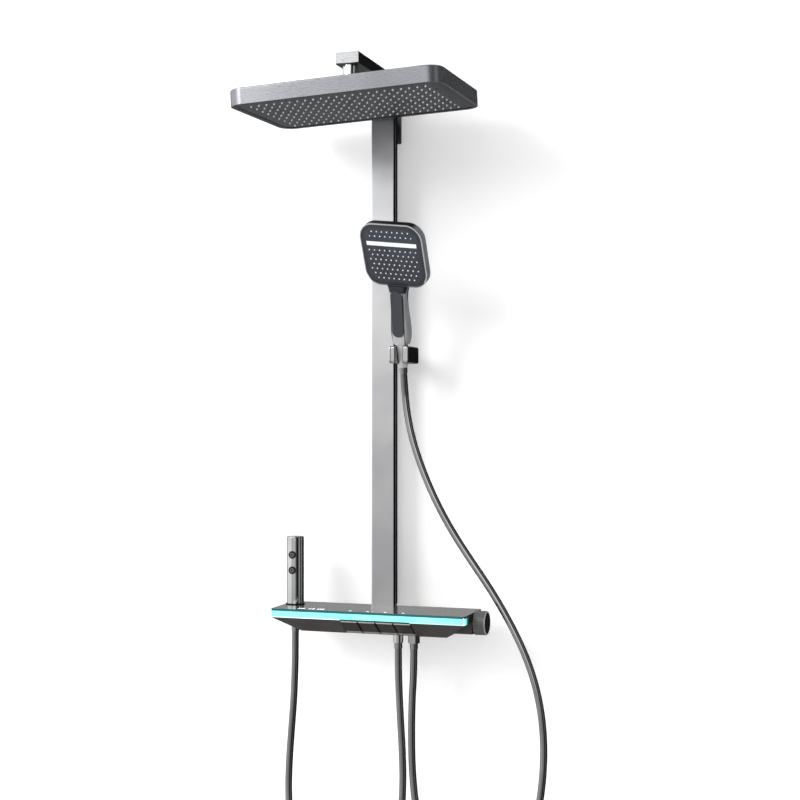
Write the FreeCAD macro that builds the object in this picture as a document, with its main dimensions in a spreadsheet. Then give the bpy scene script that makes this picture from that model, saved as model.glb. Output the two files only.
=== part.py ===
"""Thermostatic mixer shower with a shelf, four keys, an overhead head, a hand shower and a spray gun.

Millimetres, +Z up. The origin lies on the wall, midway between the two water inlets; the shower
stands in front of the wall towards -Y and +X is the user's right.
"""
import FreeCAD, Part
import math
import os
import re

import Sketcher

# Driving sizes, one group for each sub-assembly

COMMON_SIZES = {
    "cut_overrun": 1.0,
    "running_fit": 0.05,
    "body_clearance": 0.3,
    "slide_clearance": 0.4,
    "screw_radius": 2.0,
    "screw_head_radius": 3.8,
    "screw_head_height": 2.4,
}

WATER_SIZES = {
    "inlet_spacing": 150.0,
    "axis_setback": 100.0,
    "axis_rise": 5.0,
    "wall_thread_radius": 10.45,
    "wall_thread_length": 15.0,
    "wall_thread_relief": 0.45,
    "union_radius": 13.1,
    "union_start": 8.0,
    "union_end": 36.0,
    "union_bore": 7.0,
    "tail_radius": 10.0,
    "tail_collar_radius": 12.6,
    "tail_collar_length": 4.0,
    "nut_across_flats": 30.0,
    "nut_rear": 24.0,
    "nut_wall": 5.0,
    "nut_front": 46.0,
    "rosette_width": 58.0,
    "rosette_height": 37.0,
    "rosette_depth": 7.0,
    "rosette_drop": 5.0,
    "rosette_edge": 2.0,
}

SHELF_SIZES = {
    "shelf_width": 396.0,
    "shelf_shift": 5.0,
    "shelf_depth": 121.0,
    "shelf_gap": 49.0,
    "plate_top": 25.0,
    "plate_thick": 3.0,
    "plate_corner": 4.0,
    "light_height": 14.0,
    "light_thick": 4.0,
    "light_return": 42.0,
    "hull_height": 31.0,
    "hull_end_rake": 48.0,
    "hull_front_rake": 44.0,
    "hull_wall": 2.5,
    "hull_inset": 3.2,
    "neck_width": 42.0,
    "neck_drop": 21.0,
    "neck_start": 150.0,
    "neck_corner": 6.0,
    "board_margin": 14.0,
    "board_height": 9.0,
    "board_thick": 1.6,
    "display_width": 78.0,
    "display_depth": 30.0,
    "display_height": 7.0,
    "display_left": 160.0,
    "display_front": 14.0,
}

VALVE_SIZES = {
    "bar_left": 100.0,
    "bar_right": 150.0,
    "bar_half": 16.0,
    "bar_edge": 3.0,
    "cartridge_bore": 11.0,
    "cartridge_depth": 42.0,
    "cartridge_flange_radius": 15.0,
    "cartridge_flange_length": 12.0,
    "cartridge_nut_radius": 14.0,
    "cartridge_nut_length": 20.0,
    "spindle_radius": 5.0,
    "spindle_inside": 18.0,
    "knob_gap": 1.5,
    "knob_radius": 23.2,
    "knob_length": 24.0,
    "knob_hub_radius": 9.0,
    "knob_cavity_radius": 18.5,
    "knob_cavity_depth": 9.0,
    "knob_flute_radius": 1.5,
    "knob_edge": 1.0,
    "knob_cap_radius": 20.0,
    "knob_cap_thick": 1.5,
    "knob_cap_inset": 0.8,
    "outlet_front": 5.0,
    "spray_outlet_right": 50.0,
    "hand_outlet_right": 82.0,
    "outlet_radius": 7.5,
    "outlet_length": 27.4,
    "hull_hole_slack": 1.0,
    "generator_radius": 14.0,
    "generator_length": 40.0,
    "rotor_radius": 9.8,
    "rotor_hub_radius": 3.2,
    "rotor_length": 16.0,
    "rotor_blade_thick": 1.2,
    "rotor_shaft_radius": 1.5,
    "rotor_shaft_length": 30.0,
    "rotor_room": 1.0,
    "cover_screw_left": 80.0,
    "cover_screw_right": 101.0,
    "cover_screw_length": 18.0,
}

KEY_SIZES = {
    "key_left": 48.0,
    "key_width": 33.5,
    "key_pitch": 36.0,
    "key_start": 4.0,
    "key_length": 49.0,
    "key_proud": 1.2,
    "key_thick": 5.0,
    "key_edge": 1.0,
    "key_lip": 4.5,
    "key_lip_depth": 2.0,
    "key_stem_radius": 3.0,
    "key_stem_along": 34.0,
    "key_stem_length": 12.0,
    "key_valve_radius": 7.5,
    "key_valve_start": 9.0,
    "key_valve_length": 17.0,
    "key_valve_bore_length": 13.0,
    "key_side_gap": 1.2,
    "key_end_gap": 1.6,
    "block_front": 50.0,
    "block_foot": 18.7,
    "block_step": 10.0,
}

COLUMN_SIZES = {
    "column_width": 47.5,
    "column_depth": 25.0,
    "column_gap": 30.0,
    "column_wall": 2.5,
    "column_corner": 1.5,
    "column_top": 1061.5,
    "groove_width": 8.0,
    "groove_depth": 1.2,
    "foot_plug_height": 30.0,
    "foot_drop": 36.0,
    "foot_nipple_radius": 9.0,
    "pipe_radius": 6.0,
    "pipe_wall": 1.5,
    "pipe_bend": 15.0,
    "pipe_socket": 26.0,
    "joiner_height": 30.0,
    "joiner_plate": 2.0,
    "joiner_plate_depth": 44.0,
    "bracket_level": 985.0,
    "bracket_height": 60.0,
    "bracket_width": 44.0,
    "bracket_flange": 5.0,
    "bracket_post": 26.0,
    "bracket_hole_spacing": 44.0,
    "bracket_hole_radius": 2.6,
    "bracket_edge": 3.0,
}

ARM_SIZES = {
    "arm_width": 48.0,
    "arm_height": 21.5,
    "arm_wall": 2.5,
    "arm_reach": 206.0,
    "arm_corner": 1.2,
    "arm_cap_thick": 3.0,
    "outlet_block_length": 30.0,
    "outlet_block_half": 18.0,
    "outlet_block_inset": 2.0,
    "outlet_block_socket": 9.0,
    "spigot_radius": 9.0,
    "spigot_length": 12.0,
    "stem_reach": 186.0,
}

HEAD_SIZES = {
    "ball_level": 1024.0,
    "ball_radius": 12.0,
    "ball_neck_radius": 6.5,
    "ball_waterway": 3.5,
    "collar_radius": 14.3,
    "collar_rise": 16.0,
    "collar_taper": 3.0,
    "ball_nut_radius": 17.0,
    "ball_nut_top": 9.0,
    "ball_nut_edge": 2.5,
    "ball_nut_mouth": 8.4,
    "seal_radius": 9.0,
    "seal_top": 8.0,
    "seal_bottom": 14.0,
    "seal_bore": 4.0,
    "boss_radius": 18.0,
    "boss_top": 2.0,
    "boss_bottom": 20.0,
    "head_width": 415.0,
    "head_depth": 284.0,
    "head_setback": 30.0,
    "head_height": 31.0,
    "head_drop": 4.0,
    "head_corner": 32.0,
    "head_edge": 3.0,
    "head_wall": 2.5,
    "face_thick": 4.0,
    "face_rim": 9.0,
    "face_clearance": 0.2,
    "mat_thick": 4.0,
    "mat_recess": 1.0,
    "nozzle_radius": 1.9,
    "nozzle_tip_radius": 1.2,
    "nozzle_length": 2.4,
    "nozzle_pitch": 15.5,
    "nozzle_margin": 11.0,
    "gasket_thick": 1.0,
    "gasket_width": 8.0,
    "box_wall": 3.0,
    "post_radius": 6.0,
    "post_inset": 22.0,
    "head_screw_length": 20.0,
    "head_tilt": 1.5,
    "head_roll": -2.43,
}

HOLDER_SIZES = {
    "holder_right": 54.0,
    "holder_level": 523.0,
    "holder_setback": 90.0,
    "holder_width": 42.0,
    "holder_height": 34.0,
    "holder_front": 117.0,
    "holder_back": 50.0,
    "holder_corner": 3.5,
    "holder_back_corner": 5.0,
    "holder_slot": 16.0,
    "holder_bore": 13.5,
    "bracket_arm_right": 50.0,
    "bracket_arm_back": 32.0,
    "bracket_arm_height": 30.0,
    "holder_screw_spacing": 16.0,
    "holder_screw_right": 42.0,
    "holder_screw_depth": 10.0,
}

HANDSET_SIZES = {
    "handset_lean": 20.0,
    "handset_side": 3.35,
    "handset_turn": -10.5,
    "face_lean": 11.0,
    "cone_half": 24.0,
    "cone_low_radius": 8.8,
    "cone_high_radius": 11.6,
    "cone_bore": 5.0,
    "grip_low_width": 30.0,
    "grip_low_depth": 24.0,
    "grip_mid_width": 32.0,
    "grip_mid_depth": 26.0,
    "grip_mid_level": 95.0,
    "grip_high_width": 37.0,
    "grip_high_depth": 23.0,
    "grip_high_level": 132.0,
    "grip_flare_width": 72.0,
    "grip_flare_depth": 17.0,
    "grip_flare_level": 160.0,
    "grip_flare_back": 2.6,
    "grip_corner_share": 0.3,
    "hand_head_level": 203.5,
    "hand_head_forward": 15.2,
    "hand_head_width": 135.5,
    "hand_head_height": 129.5,
    "hand_head_thick": 19.0,
    "hand_head_corner": 32.0,
    "hand_head_edge": 5.0,
    "hand_face_margin": 2.2,
    "hand_face_thick": 2.4,
    "hand_mat_thick": 1.4,
    "hand_mat_margin": 7.6,
    "hand_nozzle_radius": 1.5,
    "hand_nozzle_tip": 1.0,
    "hand_nozzle_length": 1.2,
    "hand_nozzle_pitch": 11.2,
    "strip_rise": 23.3,
    "strip_width": 108.0,
    "strip_height": 8.0,
    "strip_proud": 0.4,
    "strip_gap": 0.2,
    "panel_width": 25.0,
    "panel_low": 40.0,
    "panel_high": 132.0,
    "panel_thick": 2.6,
    "panel_proud": 0.9,
    "panel_corner": 11.0,
}

SPRAYER_SIZES = {
    "sprayer_left": 173.0,
    "sprayer_setback": 91.0,
    "sprayer_radius": 17.2,
    "sprayer_height": 136.0,
    "sprayer_wall": 2.6,
    "sprayer_floor": 4.0,
    "sprayer_cap_height": 7.0,
    "sprayer_cap_gap": 0.6,
    "sprayer_cap_lip": 3.0,
    "sprayer_edge": 1.2,
    "button_radius": 7.6,
    "button_proud": 1.6,
    "button_length": 7.0,
    "button_upper": 100.0,
    "button_lower": 69.0,
    "button_edge": 0.8,
    "core_radius": 8.0,
    "socket_ring_radius": 19.4,
    "socket_ring_height": 2.0,
    "socket_radius": 14.0,
    "socket_drop": 8.0,
    "spray_cone_low": 8.6,
    "spray_cone_high": 11.5,
    "spray_cone_length": 44.3,
}

HOSE_SIZES = {
    "hose_radius": 7.0,
    "hose_nut_length": 16.0,
    "hose_nut_floor": 1.0,
    "hand_nut_radius": 12.0,
    "spray_nut_radius": 9.8,
}

SIZE_GROUPS = (
    COMMON_SIZES, WATER_SIZES, SHELF_SIZES, VALVE_SIZES, KEY_SIZES, COLUMN_SIZES, ARM_SIZES,
    HEAD_SIZES, HOLDER_SIZES, HANDSET_SIZES, SPRAYER_SIZES, HOSE_SIZES,
)

KEY_COUNT = 4
KNOB_FLUTES = 30
ROTOR_BLADES = 6
NOZZLE_SIDES = 6
LATTICE_ROW_SHARE = math.sqrt(3) / 2
HOSE_TRIM_SHARE = 0.45

# Routes of the two free hoses, each from its cone down round a hanging loop to its outlet nut

HAND_HOSE_ROUTE = (
    (52.6, -81.6, 500), (50.6, -68.9, 465), (54, -66, 416), (65, -67, 362), (84, -70, 308),
    (110, -74, 250), (144, -79, 190), (186, -84, 130), (231, -88, 70), (272, -92, 6),
    (306, -96, -60), (329, -100, -128), (340, -103, -200), (340, -106, -274), (331, -108, -346),
    (310, -109, -414), (272, -109, -472), (216, -108, -503), (155, -107, -492), (111, -106, -442),
    (88, -105, -374), (79, -105, -300), (77, -105, -226), (78, -105, -154), (82, -105, -92),
    (82, -105, -39.4),
)

SPRAY_HOSE_ROUTE = (
    (-173, -91, -17.3), (-173, -91, -62), (-174, -91, -114), (-176, -92, -168), (-180, -94, -226),
    (-184, -96, -286), (-185, -99, -348), (-180, -102, -410), (-164, -104, -466),
    (-132, -105, -514), (-84, -106, -540), (-28, -106, -532), (18, -106, -494), (45, -106, -438),
    (57, -106, -374), (60, -105, -310), (58, -105, -246), (54, -105, -182), (51, -105, -122),
    (50, -105, -74), (50, -105, -39.4),
)

# Places that several pieces share, as formulas of the named sizes

SHELF_LEFT = "(shelf_shift - shelf_width / 2)"
SHELF_RIGHT = "(shelf_shift + shelf_width / 2)"
SHELF_FRONT = "(-shelf_gap - shelf_depth)"
SHELF_BACK = "(-shelf_gap)"
PLATE_UNDER = "(plate_top - plate_thick)"
HULL_TOP = "(plate_top - plate_thick - light_height)"
HULL_BOTTOM = "(plate_top - plate_thick - light_height - hull_height)"
HULL_SLOPE = "atan(hull_height / hull_front_rake)"
COLUMN_FRONT = "(-column_gap - column_depth)"
COLUMN_MIDDLE = "(-column_gap - column_depth / 2)"
ARM_FRONT = "(-column_gap - column_depth - arm_reach)"
STEM_PLACE = "(-column_gap - column_depth - stem_reach)"
HEAD_LOW = "(-head_drop - head_height)"
BAR_LOW = "(axis_rise - bar_half)"

DOC = FreeCAD.newDocument("ThermostaticShower")
SHEET = DOC.addObject("Spreadsheet::Sheet", "Sizes")
X_AXIS = FreeCAD.Vector(1, 0, 0)
Y_AXIS = FreeCAD.Vector(0, 1, 0)
Z_AXIS = FreeCAD.Vector(0, 0, 1)
TURNS = {
    "X": FreeCAD.Rotation(Y_AXIS, 90),
    "Y": FreeCAD.Rotation(X_AXIS, -90),
    "Z": FreeCAD.Rotation(),
}
SIZE_NAME = re.compile(r"[a-z][a-z0-9]*(?:_[a-z0-9]+)+")
NODES = []


def fill_sheet():
    """Write every named size into the sheet, one row each."""
    row = 0
    for group in SIZE_GROUPS:
        for name, number in group.items():
            row += 1
            SHEET.set(f"A{row}", name)
            SHEET.set(f"B{row}", str(number))
            SHEET.setAlias(f"B{row}", name)
    DOC.recompute()


def size(name):
    """The number that the sheet holds for a named size."""
    return float(SHEET.get(name))


def formula(text):
    """The text with each named size pointed at its cell."""
    return SIZE_NAME.sub(lambda found: "Sizes." + found.group(0), text)


def value(text):
    """The number that a formula of the named sizes comes to."""
    result = SHEET.evalExpression(formula(text))
    return float(getattr(result, "Value", result))


# Small helpers round the document's objects

def bind(thing, **sizes):
    """Tie properties of a thing to formulas of the named sizes."""
    for name, text in sizes.items():
        thing.setExpression(name, formula(text))
    return thing


def place(thing, x="0", y="0", z="0"):
    """Tie the place of a thing to formulas of the named sizes."""
    for axis, text in zip("xyz", (x, y, z)):
        thing.setExpression("Placement.Base." + axis, formula(text))
    return thing


def block(label, x, y, z, length, width, height):
    """A box from its lowest corner."""
    box = DOC.addObject("Part::Box", label)
    bind(box, Length=length, Width=width, Height=height)
    return place(box, x, y, z)


def rod(label, radius, length, x="0", y="0", z="0", along="Z"):
    """A cylinder that starts at a point and runs along an axis."""
    cylinder = DOC.addObject("Part::Cylinder", label)
    cylinder.Placement = FreeCAD.Placement(FreeCAD.Vector(), TURNS[along])
    bind(cylinder, Radius=radius, Height=length)
    return place(cylinder, x, y, z)


def taper(label, first, last, length, x="0", y="0", z="0", along="Z"):
    """A cone that starts at a point and runs along an axis."""
    cone = DOC.addObject("Part::Cone", label)
    cone.Placement = FreeCAD.Placement(FreeCAD.Vector(), TURNS[along])
    bind(cone, Radius1=first, Radius2=last, Height=length)
    return place(cone, x, y, z)


def ball(label, radius, x="0", y="0", z="0"):
    """A sphere about a point."""
    return place(bind(DOC.addObject("Part::Sphere", label), Radius=radius), x, y, z)


def hexagon(label, across_flats, length, x="0", y="0", z="0", along="Z"):
    """A six-sided prism that starts at a point and runs along an axis."""
    prism = DOC.addObject("Part::Prism", label)
    prism.Placement = FreeCAD.Placement(FreeCAD.Vector(), TURNS[along])
    prism.Polygon = 6
    bind(prism, Circumradius=f"({across_flats}) / 2 / cos(30)", Height=length)
    return place(prism, x, y, z)


def fuse(label, *pieces):
    """One solid of pieces that meet."""
    union = DOC.addObject("Part::MultiFuse", label)
    union.Shapes = list(pieces)
    union.Refine = True
    return union


def cut(label, base, *tools):
    """The base without the room of the tools."""
    for number, tool in enumerate(tools, 1):
        last = number == len(tools)
        step = DOC.addObject("Part::Cut", label if last else f"{label}_cut_{number}")
        step.Base = base
        step.Tool = tool
        base = step
    return base


def common(label, first, second):
    """The room that two pieces share."""
    shared = DOC.addObject("Part::Common", label)
    shared.Base = first
    shared.Tool = second
    return shared


def group(label, *pieces):
    """Separate solids of one kind that share a node."""
    compound = DOC.addObject("Part::Compound", label)
    compound.Links = list(pieces)
    return compound


def node(thing, label):
    """Give a finished sub-part its label and keep it for the files."""
    thing.Label = label
    NODES.append(thing)
    return thing


def shaped(label, shape, placement=None):
    """A sub-part whose form is worked out from the sheet in code."""
    feature = DOC.addObject("Part::Feature", label)
    feature.Shape = shape
    if placement:
        feature.Placement = placement
    return feature


# Sketched bodies

def new_body(label):
    """An empty body for sketched features."""
    return DOC.addObject("PartDesign::Body", label)


def new_sketch(body, role, label, offset="0"):
    """A sketch on one of the body's own origin planes, moved along its normal."""
    sketch = body.newObject("Sketcher::SketchObject", label)
    plane = next(item for item in body.Origin.OriginFeatures if item.Role == role)
    sketch.AttachmentSupport = (plane, [""])
    sketch.MapMode = "FlatFace"
    sketch.setExpression("AttachmentOffset.Base.z", formula(offset))
    return sketch


def pin(sketch, geometry, point, x, y):
    """Hold a point of the sketch at formulas of the named sizes."""
    for kind, text in (("DistanceX", x), ("DistanceY", y)):
        rule = Sketcher.Constraint(kind, -1, 1, geometry, point, value(text))
        number = sketch.addConstraint(rule)
        sketch.setExpression(f"Constraints[{number}]", formula(text))


def draw_polygon(sketch, corners):
    """A closed outline of straight lines through corners given as formulas."""
    first = sketch.GeometryCount
    count = len(corners)
    start = [
        FreeCAD.Vector(math.cos(math.tau * step / count), math.sin(math.tau * step / count), 0)
        for step in range(count)
    ]
    for step in range(count):
        sketch.addGeometry(Part.LineSegment(start[step], start[(step + 1) % count]), False)
    for step in range(count):
        following = first + (step + 1) % count
        sketch.addConstraint(Sketcher.Constraint("Coincident", first + step, 2, following, 1))
    for step, (x, y) in enumerate(corners):
        pin(sketch, first + step, 1, x, y)


def draw_rectangle(sketch, left, right, low, high):
    """A rectangle between formulas for its four sides."""
    draw_polygon(sketch, ((left, low), (right, low), (right, high), (left, high)))


def draw_rounded(sketch, left, right, low, high, corner):
    """A rectangle with four round corners, between formulas for its sides."""
    first = sketch.GeometryCount
    starts = (
        (f"{left} + {corner}", low), (right, f"{low} + {corner}"),
        (f"{right} - {corner}", high), (left, f"{high} - {corner}"),
    )
    ends = (
        (f"{right} - {corner}", low), (right, f"{high} - {corner}"),
        (f"{left} + {corner}", high), (left, f"{low} + {corner}"),
    )
    quarter = math.pi / 2
    radius = value(corner)
    for step in range(4):
        begin, end = (
            FreeCAD.Vector(value(x), value(y), 0) for x, y in (starts[step], ends[step]))
        inwards = FreeCAD.Vector(
            -math.sin(quarter * step), math.cos(quarter * step), 0)
        ring = Part.Circle(end + inwards * radius, Z_AXIS, radius)
        sketch.addGeometry(Part.LineSegment(begin, end), False)
        sketch.addGeometry(
            Part.ArcOfCircle(ring, quarter * (step - 1), quarter * step), False)
    for step in range(4):
        line = first + 2 * step
        arc = line + 1
        after = first + (2 * step + 2) % 8
        sketch.addConstraint(Sketcher.Constraint("Coincident", line, 2, arc, 1))
        sketch.addConstraint(Sketcher.Constraint("Coincident", arc, 2, after, 1))
        pin(sketch, line, 1, *starts[step])
        pin(sketch, line, 2, *ends[step])
        rule = sketch.addConstraint(Sketcher.Constraint("Radius", arc, radius))
        sketch.setExpression(f"Constraints[{rule}]", formula(corner))


def slab(label, plane, outline, level, thickness):
    """A plate with round corners from its four sides and corner, and where it starts."""
    body = new_body(label)
    sketch = new_sketch(body, plane, f"{label}_outline", level)
    draw_rounded(sketch, *outline)
    pad(body, sketch, thickness, f"{label}_pad")
    return body


def draw_circle(sketch, x, y, radius):
    """A circle with its centre and radius as formulas."""
    number = sketch.addGeometry(Part.Circle(FreeCAD.Vector(), Z_AXIS, 1.0), False)
    pin(sketch, number, 3, x, y)
    rule = sketch.addConstraint(Sketcher.Constraint("Radius", number, 1.0))
    sketch.setExpression(f"Constraints[{rule}]", formula(radius))


def pad(body, sketch, length, label, backwards=False):
    """Material along the sketch's normal."""
    feature = body.newObject("PartDesign::Pad", label)
    feature.Profile = sketch
    feature.Reversed = backwards
    feature.setExpression("Length", formula(length))
    DOC.recompute()
    return feature


def pocket(body, sketch, length, label, backwards=False):
    """A recess along the sketch's normal, which has to take material away."""
    before = body.Shape.Volume
    feature = body.newObject("PartDesign::Pocket", label)
    feature.Profile = sketch
    feature.Reversed = backwards
    feature.setExpression("Length", formula(length))
    DOC.recompute()
    if not feature.Shape.Volume < before:
        raise RuntimeError(f"{label} takes nothing away")
    return feature


def loft(body, sketches, label):
    """Material through a row of outlines."""
    feature = body.newObject("PartDesign::AdditiveLoft", label)
    feature.Profile = sketches[0]
    feature.Sections = sketches[1:]
    DOC.recompute()
    return feature


def chosen_edges(feature, test):
    """The names of the edges whose middle and direction pass the test."""
    names = []
    for number, edge in enumerate(feature.Shape.Edges, 1):
        middle = edge.valueAt((edge.FirstParameter + edge.LastParameter) / 2)
        way = edge.tangentAt((edge.FirstParameter + edge.LastParameter) / 2)
        if test(middle, way):
            names.append(f"Edge{number}")
    return names


def round_edges(body, feature, radius, label, test):
    """A fillet on the edges that pass the test."""
    fillet = body.newObject("PartDesign::Fillet", label)
    fillet.Base = (feature, chosen_edges(feature, test))
    fillet.setExpression("Radius", formula(radius))
    DOC.recompute()
    return fillet


def break_edges(body, feature, width, label, test):
    """A chamfer on the edges that pass the test."""
    chamfer = body.newObject("PartDesign::Chamfer", label)
    chamfer.Base = (feature, chosen_edges(feature, test))
    chamfer.setExpression("Size", formula(width))
    DOC.recompute()
    return chamfer


def upright(middle, way):
    """True for edges that run along Z."""
    return abs(way.z) > 0.999


# Column, arm and their fastening

def build_column():
    """The extruded column with a groove down each side."""
    body = new_body("column_tube")
    sketch = new_sketch(body, "XY_Plane", "column_outline", "plate_top")
    side = "column_width / 2"
    inner_side = "(column_width / 2 - groove_depth)"
    groove_front = f"({COLUMN_MIDDLE} - groove_width / 2)"
    groove_back = f"({COLUMN_MIDDLE} + groove_width / 2)"
    back = "-column_gap"
    draw_polygon(sketch, (
        (f"-{side}", COLUMN_FRONT), (side, COLUMN_FRONT),
        (side, groove_front), (inner_side, groove_front),
        (inner_side, groove_back), (side, groove_back),
        (side, back), (f"-{side}", back),
        (f"-{side}", groove_back), (f"-{inner_side}", groove_back),
        (f"-{inner_side}", groove_front), (f"-{side}", groove_front),
    ))
    tube = pad(body, sketch, "column_top - plate_top", "column_extrusion")
    outer = size("column_width") / 2
    corner = round_edges(
        body, tube, "column_corner", "column_corners",
        lambda middle, way: upright(middle, way)
        and abs(abs(middle.x) - outer) < 0.001
        and (abs(middle.y + size("column_gap")) < 0.001
             or abs(middle.y + size("column_gap") + size("column_depth")) < 0.001),
    )
    bore = new_sketch(body, "XY_Plane", "column_bore_outline", "plate_top")
    wide = "(column_width / 2 - column_wall)"
    draw_rectangle(
        bore, f"-{wide}", wide, f"{COLUMN_FRONT} + column_wall", "-column_gap - column_wall")
    pocket(body, bore, "column_top - plate_top", "column_bore", backwards=True)
    return node(body, "column_tube")


def build_column_foot():
    """The brass foot behind the mixer that feeds the column's pipe."""
    half = "(column_width / 2 - column_wall)"
    deep = "(column_depth - 2 * column_wall)"
    plug = block(
        "foot_plug", f"-{half}", f"{COLUMN_FRONT} + column_wall", "plate_top",
        f"2 * {half}", deep, "foot_plug_height")
    heel = block(
        "foot_heel", f"-{half}", SHELF_BACK, "plate_top - foot_drop",
        f"2 * {half}", "shelf_gap - column_gap - column_wall", "foot_drop")
    nipple = rod(
        "foot_nipple", "foot_nipple_radius", "axis_setback - bar_half - shelf_gap + running_fit",
        y="-(axis_setback - bar_half)", z="axis_rise", along="Y")
    solid = fuse("foot_casting", plug, heel, nipple)
    pipe_room = rod(
        "foot_pipe_room", "pipe_radius", "pipe_socket + cut_overrun",
        y=COLUMN_MIDDLE, z="plate_top + foot_plug_height - pipe_socket")
    drop = rod(
        "foot_drop_way", "ball_waterway", "plate_top + foot_plug_height - pipe_socket - axis_rise",
        y=COLUMN_MIDDLE, z="axis_rise")
    way = rod(
        "foot_water_way", "ball_waterway", "axis_setback - bar_half - column_gap",
        y="-(axis_setback - bar_half)", z="axis_rise", along="Y")
    back_relief = block(
        "foot_back_relief", f"-{half}", "-column_gap - column_wall",
        "plate_top - foot_drop - cut_overrun", f"2 * {half}", "column_wall + cut_overrun",
        "foot_drop + foot_plug_height + 2 * cut_overrun")
    return node(cut("column_foot", solid, pipe_room, drop, way, back_relief), "column_foot")


def build_riser_pipe():
    """The pipe that climbs inside the column and turns forward into the arm."""
    bend = size("pipe_bend")
    radius = size("pipe_radius")
    middle = value(COLUMN_MIDDLE)
    low = value("plate_top + foot_plug_height - pipe_socket")
    arm_middle = value("column_top + arm_height / 2")
    front = value(
        f"{ARM_FRONT} + arm_cap_thick + outlet_block_inset + outlet_block_length"
        " - outlet_block_socket")
    start = FreeCAD.Vector(0, middle, low)
    turn_in = FreeCAD.Vector(0, middle, arm_middle - bend)
    turn_out = FreeCAD.Vector(0, middle - bend, arm_middle)
    end = FreeCAD.Vector(0, front, arm_middle)
    slant = bend * math.sqrt(0.5)
    halfway = FreeCAD.Vector(0, middle - bend + slant, arm_middle - bend + slant)
    wire = Part.Wire([
        Part.LineSegment(start, turn_in).toShape(),
        Part.Arc(turn_in, halfway, turn_out).toShape(),
        Part.LineSegment(turn_out, end).toShape(),
    ])
    outside = swept(wire, start, Z_AXIS, radius)
    inside = swept(wire, start, Z_AXIS, radius - size("pipe_wall"))
    return node(shaped("riser_pipe", outside.cut(inside)), "riser_pipe")


def swept(wire, start, way, radius):
    """A round solid along a wire."""
    ring = Part.Wire([Part.makeCircle(radius, start, way)])
    return wire.makePipeShell([ring], True, False)


def build_arm_joiner():
    """The block that plugs into the column's top and holds the arm down."""
    half = "(column_width / 2 - column_wall)"
    deep = "(column_depth - 2 * column_wall)"
    plug = block(
        "joiner_plug", f"-{half}", f"{COLUMN_FRONT} + column_wall",
        "column_top - joiner_height", f"2 * {half}", deep, "joiner_height + arm_wall")
    plate = block(
        "joiner_plate_part", f"-{half}", "-column_gap - column_wall - joiner_plate_depth",
        "column_top + arm_wall", f"2 * {half}", "joiner_plate_depth", "joiner_plate")
    room = block(
        "joiner_pipe_room", "-pipe_radius - body_clearance",
        f"{COLUMN_MIDDLE} - pipe_bend", "column_top - joiner_height - cut_overrun",
        "2 * (pipe_radius + body_clearance)", "pipe_bend + pipe_radius + body_clearance",
        "joiner_height + arm_wall + joiner_plate + 2 * cut_overrun")
    return node(cut("arm_joiner", fuse("joiner_casting", plug, plate), room), "arm_joiner")


def build_arm():
    """The rectangular arm, closed over the column and open at the front."""
    body = new_body("arm_extrusion")
    sketch = new_sketch(body, "XZ_Plane", "arm_outline", "column_gap")
    draw_rectangle(
        sketch, "-arm_width / 2", "arm_width / 2", "column_top", "column_top + arm_height")
    tube = pad(body, sketch, "column_depth + arm_reach", "arm_length")
    round_edges(
        body, tube, "arm_corner", "arm_corners", lambda middle, way: abs(way.y) > 0.999)
    bore = new_sketch(body, "XZ_Plane", "arm_bore_outline", "column_gap + arm_wall")
    draw_rectangle(
        bore, "-(arm_width / 2 - arm_wall)", "arm_width / 2 - arm_wall",
        "column_top + arm_wall", "column_top + arm_height - arm_wall")
    pocket(body, bore, "column_depth + arm_reach", "arm_bore", backwards=True)
    half = "(column_width / 2 - column_wall)"
    column_opening = block(
        "arm_column_opening", f"-{half}", f"{COLUMN_FRONT} + column_wall",
        "column_top - cut_overrun", f"2 * {half}", "column_depth - 2 * column_wall",
        "arm_wall + cut_overrun + running_fit")
    spigot_hole = rod(
        "arm_spigot_hole", "spigot_radius + running_fit", "arm_wall + 2 * cut_overrun",
        y=STEM_PLACE, z="column_top - cut_overrun")
    return node(cut("arm_tube", body, column_opening, spigot_hole), "arm_tube")


def build_arm_cap():
    """The flat cap in the arm's front end."""
    face = block(
        "arm_cap_face", "-(arm_width / 2 - arm_wall)", ARM_FRONT, "column_top + arm_wall",
        "arm_width - 2 * arm_wall", "arm_cap_thick", "arm_height - 2 * arm_wall")
    return node(face, "arm_cap")


def build_arm_outlet():
    """The outlet block in the arm with the spigot that the head's collar turns on."""
    top = "(arm_height - 2 * arm_wall)"
    casting = block(
        "outlet_casting", "-outlet_block_half",
        f"{ARM_FRONT} + arm_cap_thick + outlet_block_inset", "column_top + arm_wall",
        "2 * outlet_block_half", "outlet_block_length", top)
    spigot = rod(
        "outlet_spigot", "spigot_radius", "spigot_length + arm_wall",
        y=STEM_PLACE, z="column_top - spigot_length")
    solid = fuse("outlet_solid", casting, spigot)
    socket = rod(
        "outlet_socket", "pipe_radius", "outlet_block_socket + cut_overrun",
        y=f"{ARM_FRONT} + arm_cap_thick + outlet_block_inset + outlet_block_length"
          " - outlet_block_socket",
        z="column_top + arm_height / 2", along="Y")
    drop = rod(
        "outlet_drop", "ball_waterway", "spigot_length + arm_height / 2 + cut_overrun",
        y=STEM_PLACE, z="column_top - spigot_length - cut_overrun")
    return node(cut("arm_outlet", solid, socket, drop), "arm_outlet")


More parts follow.
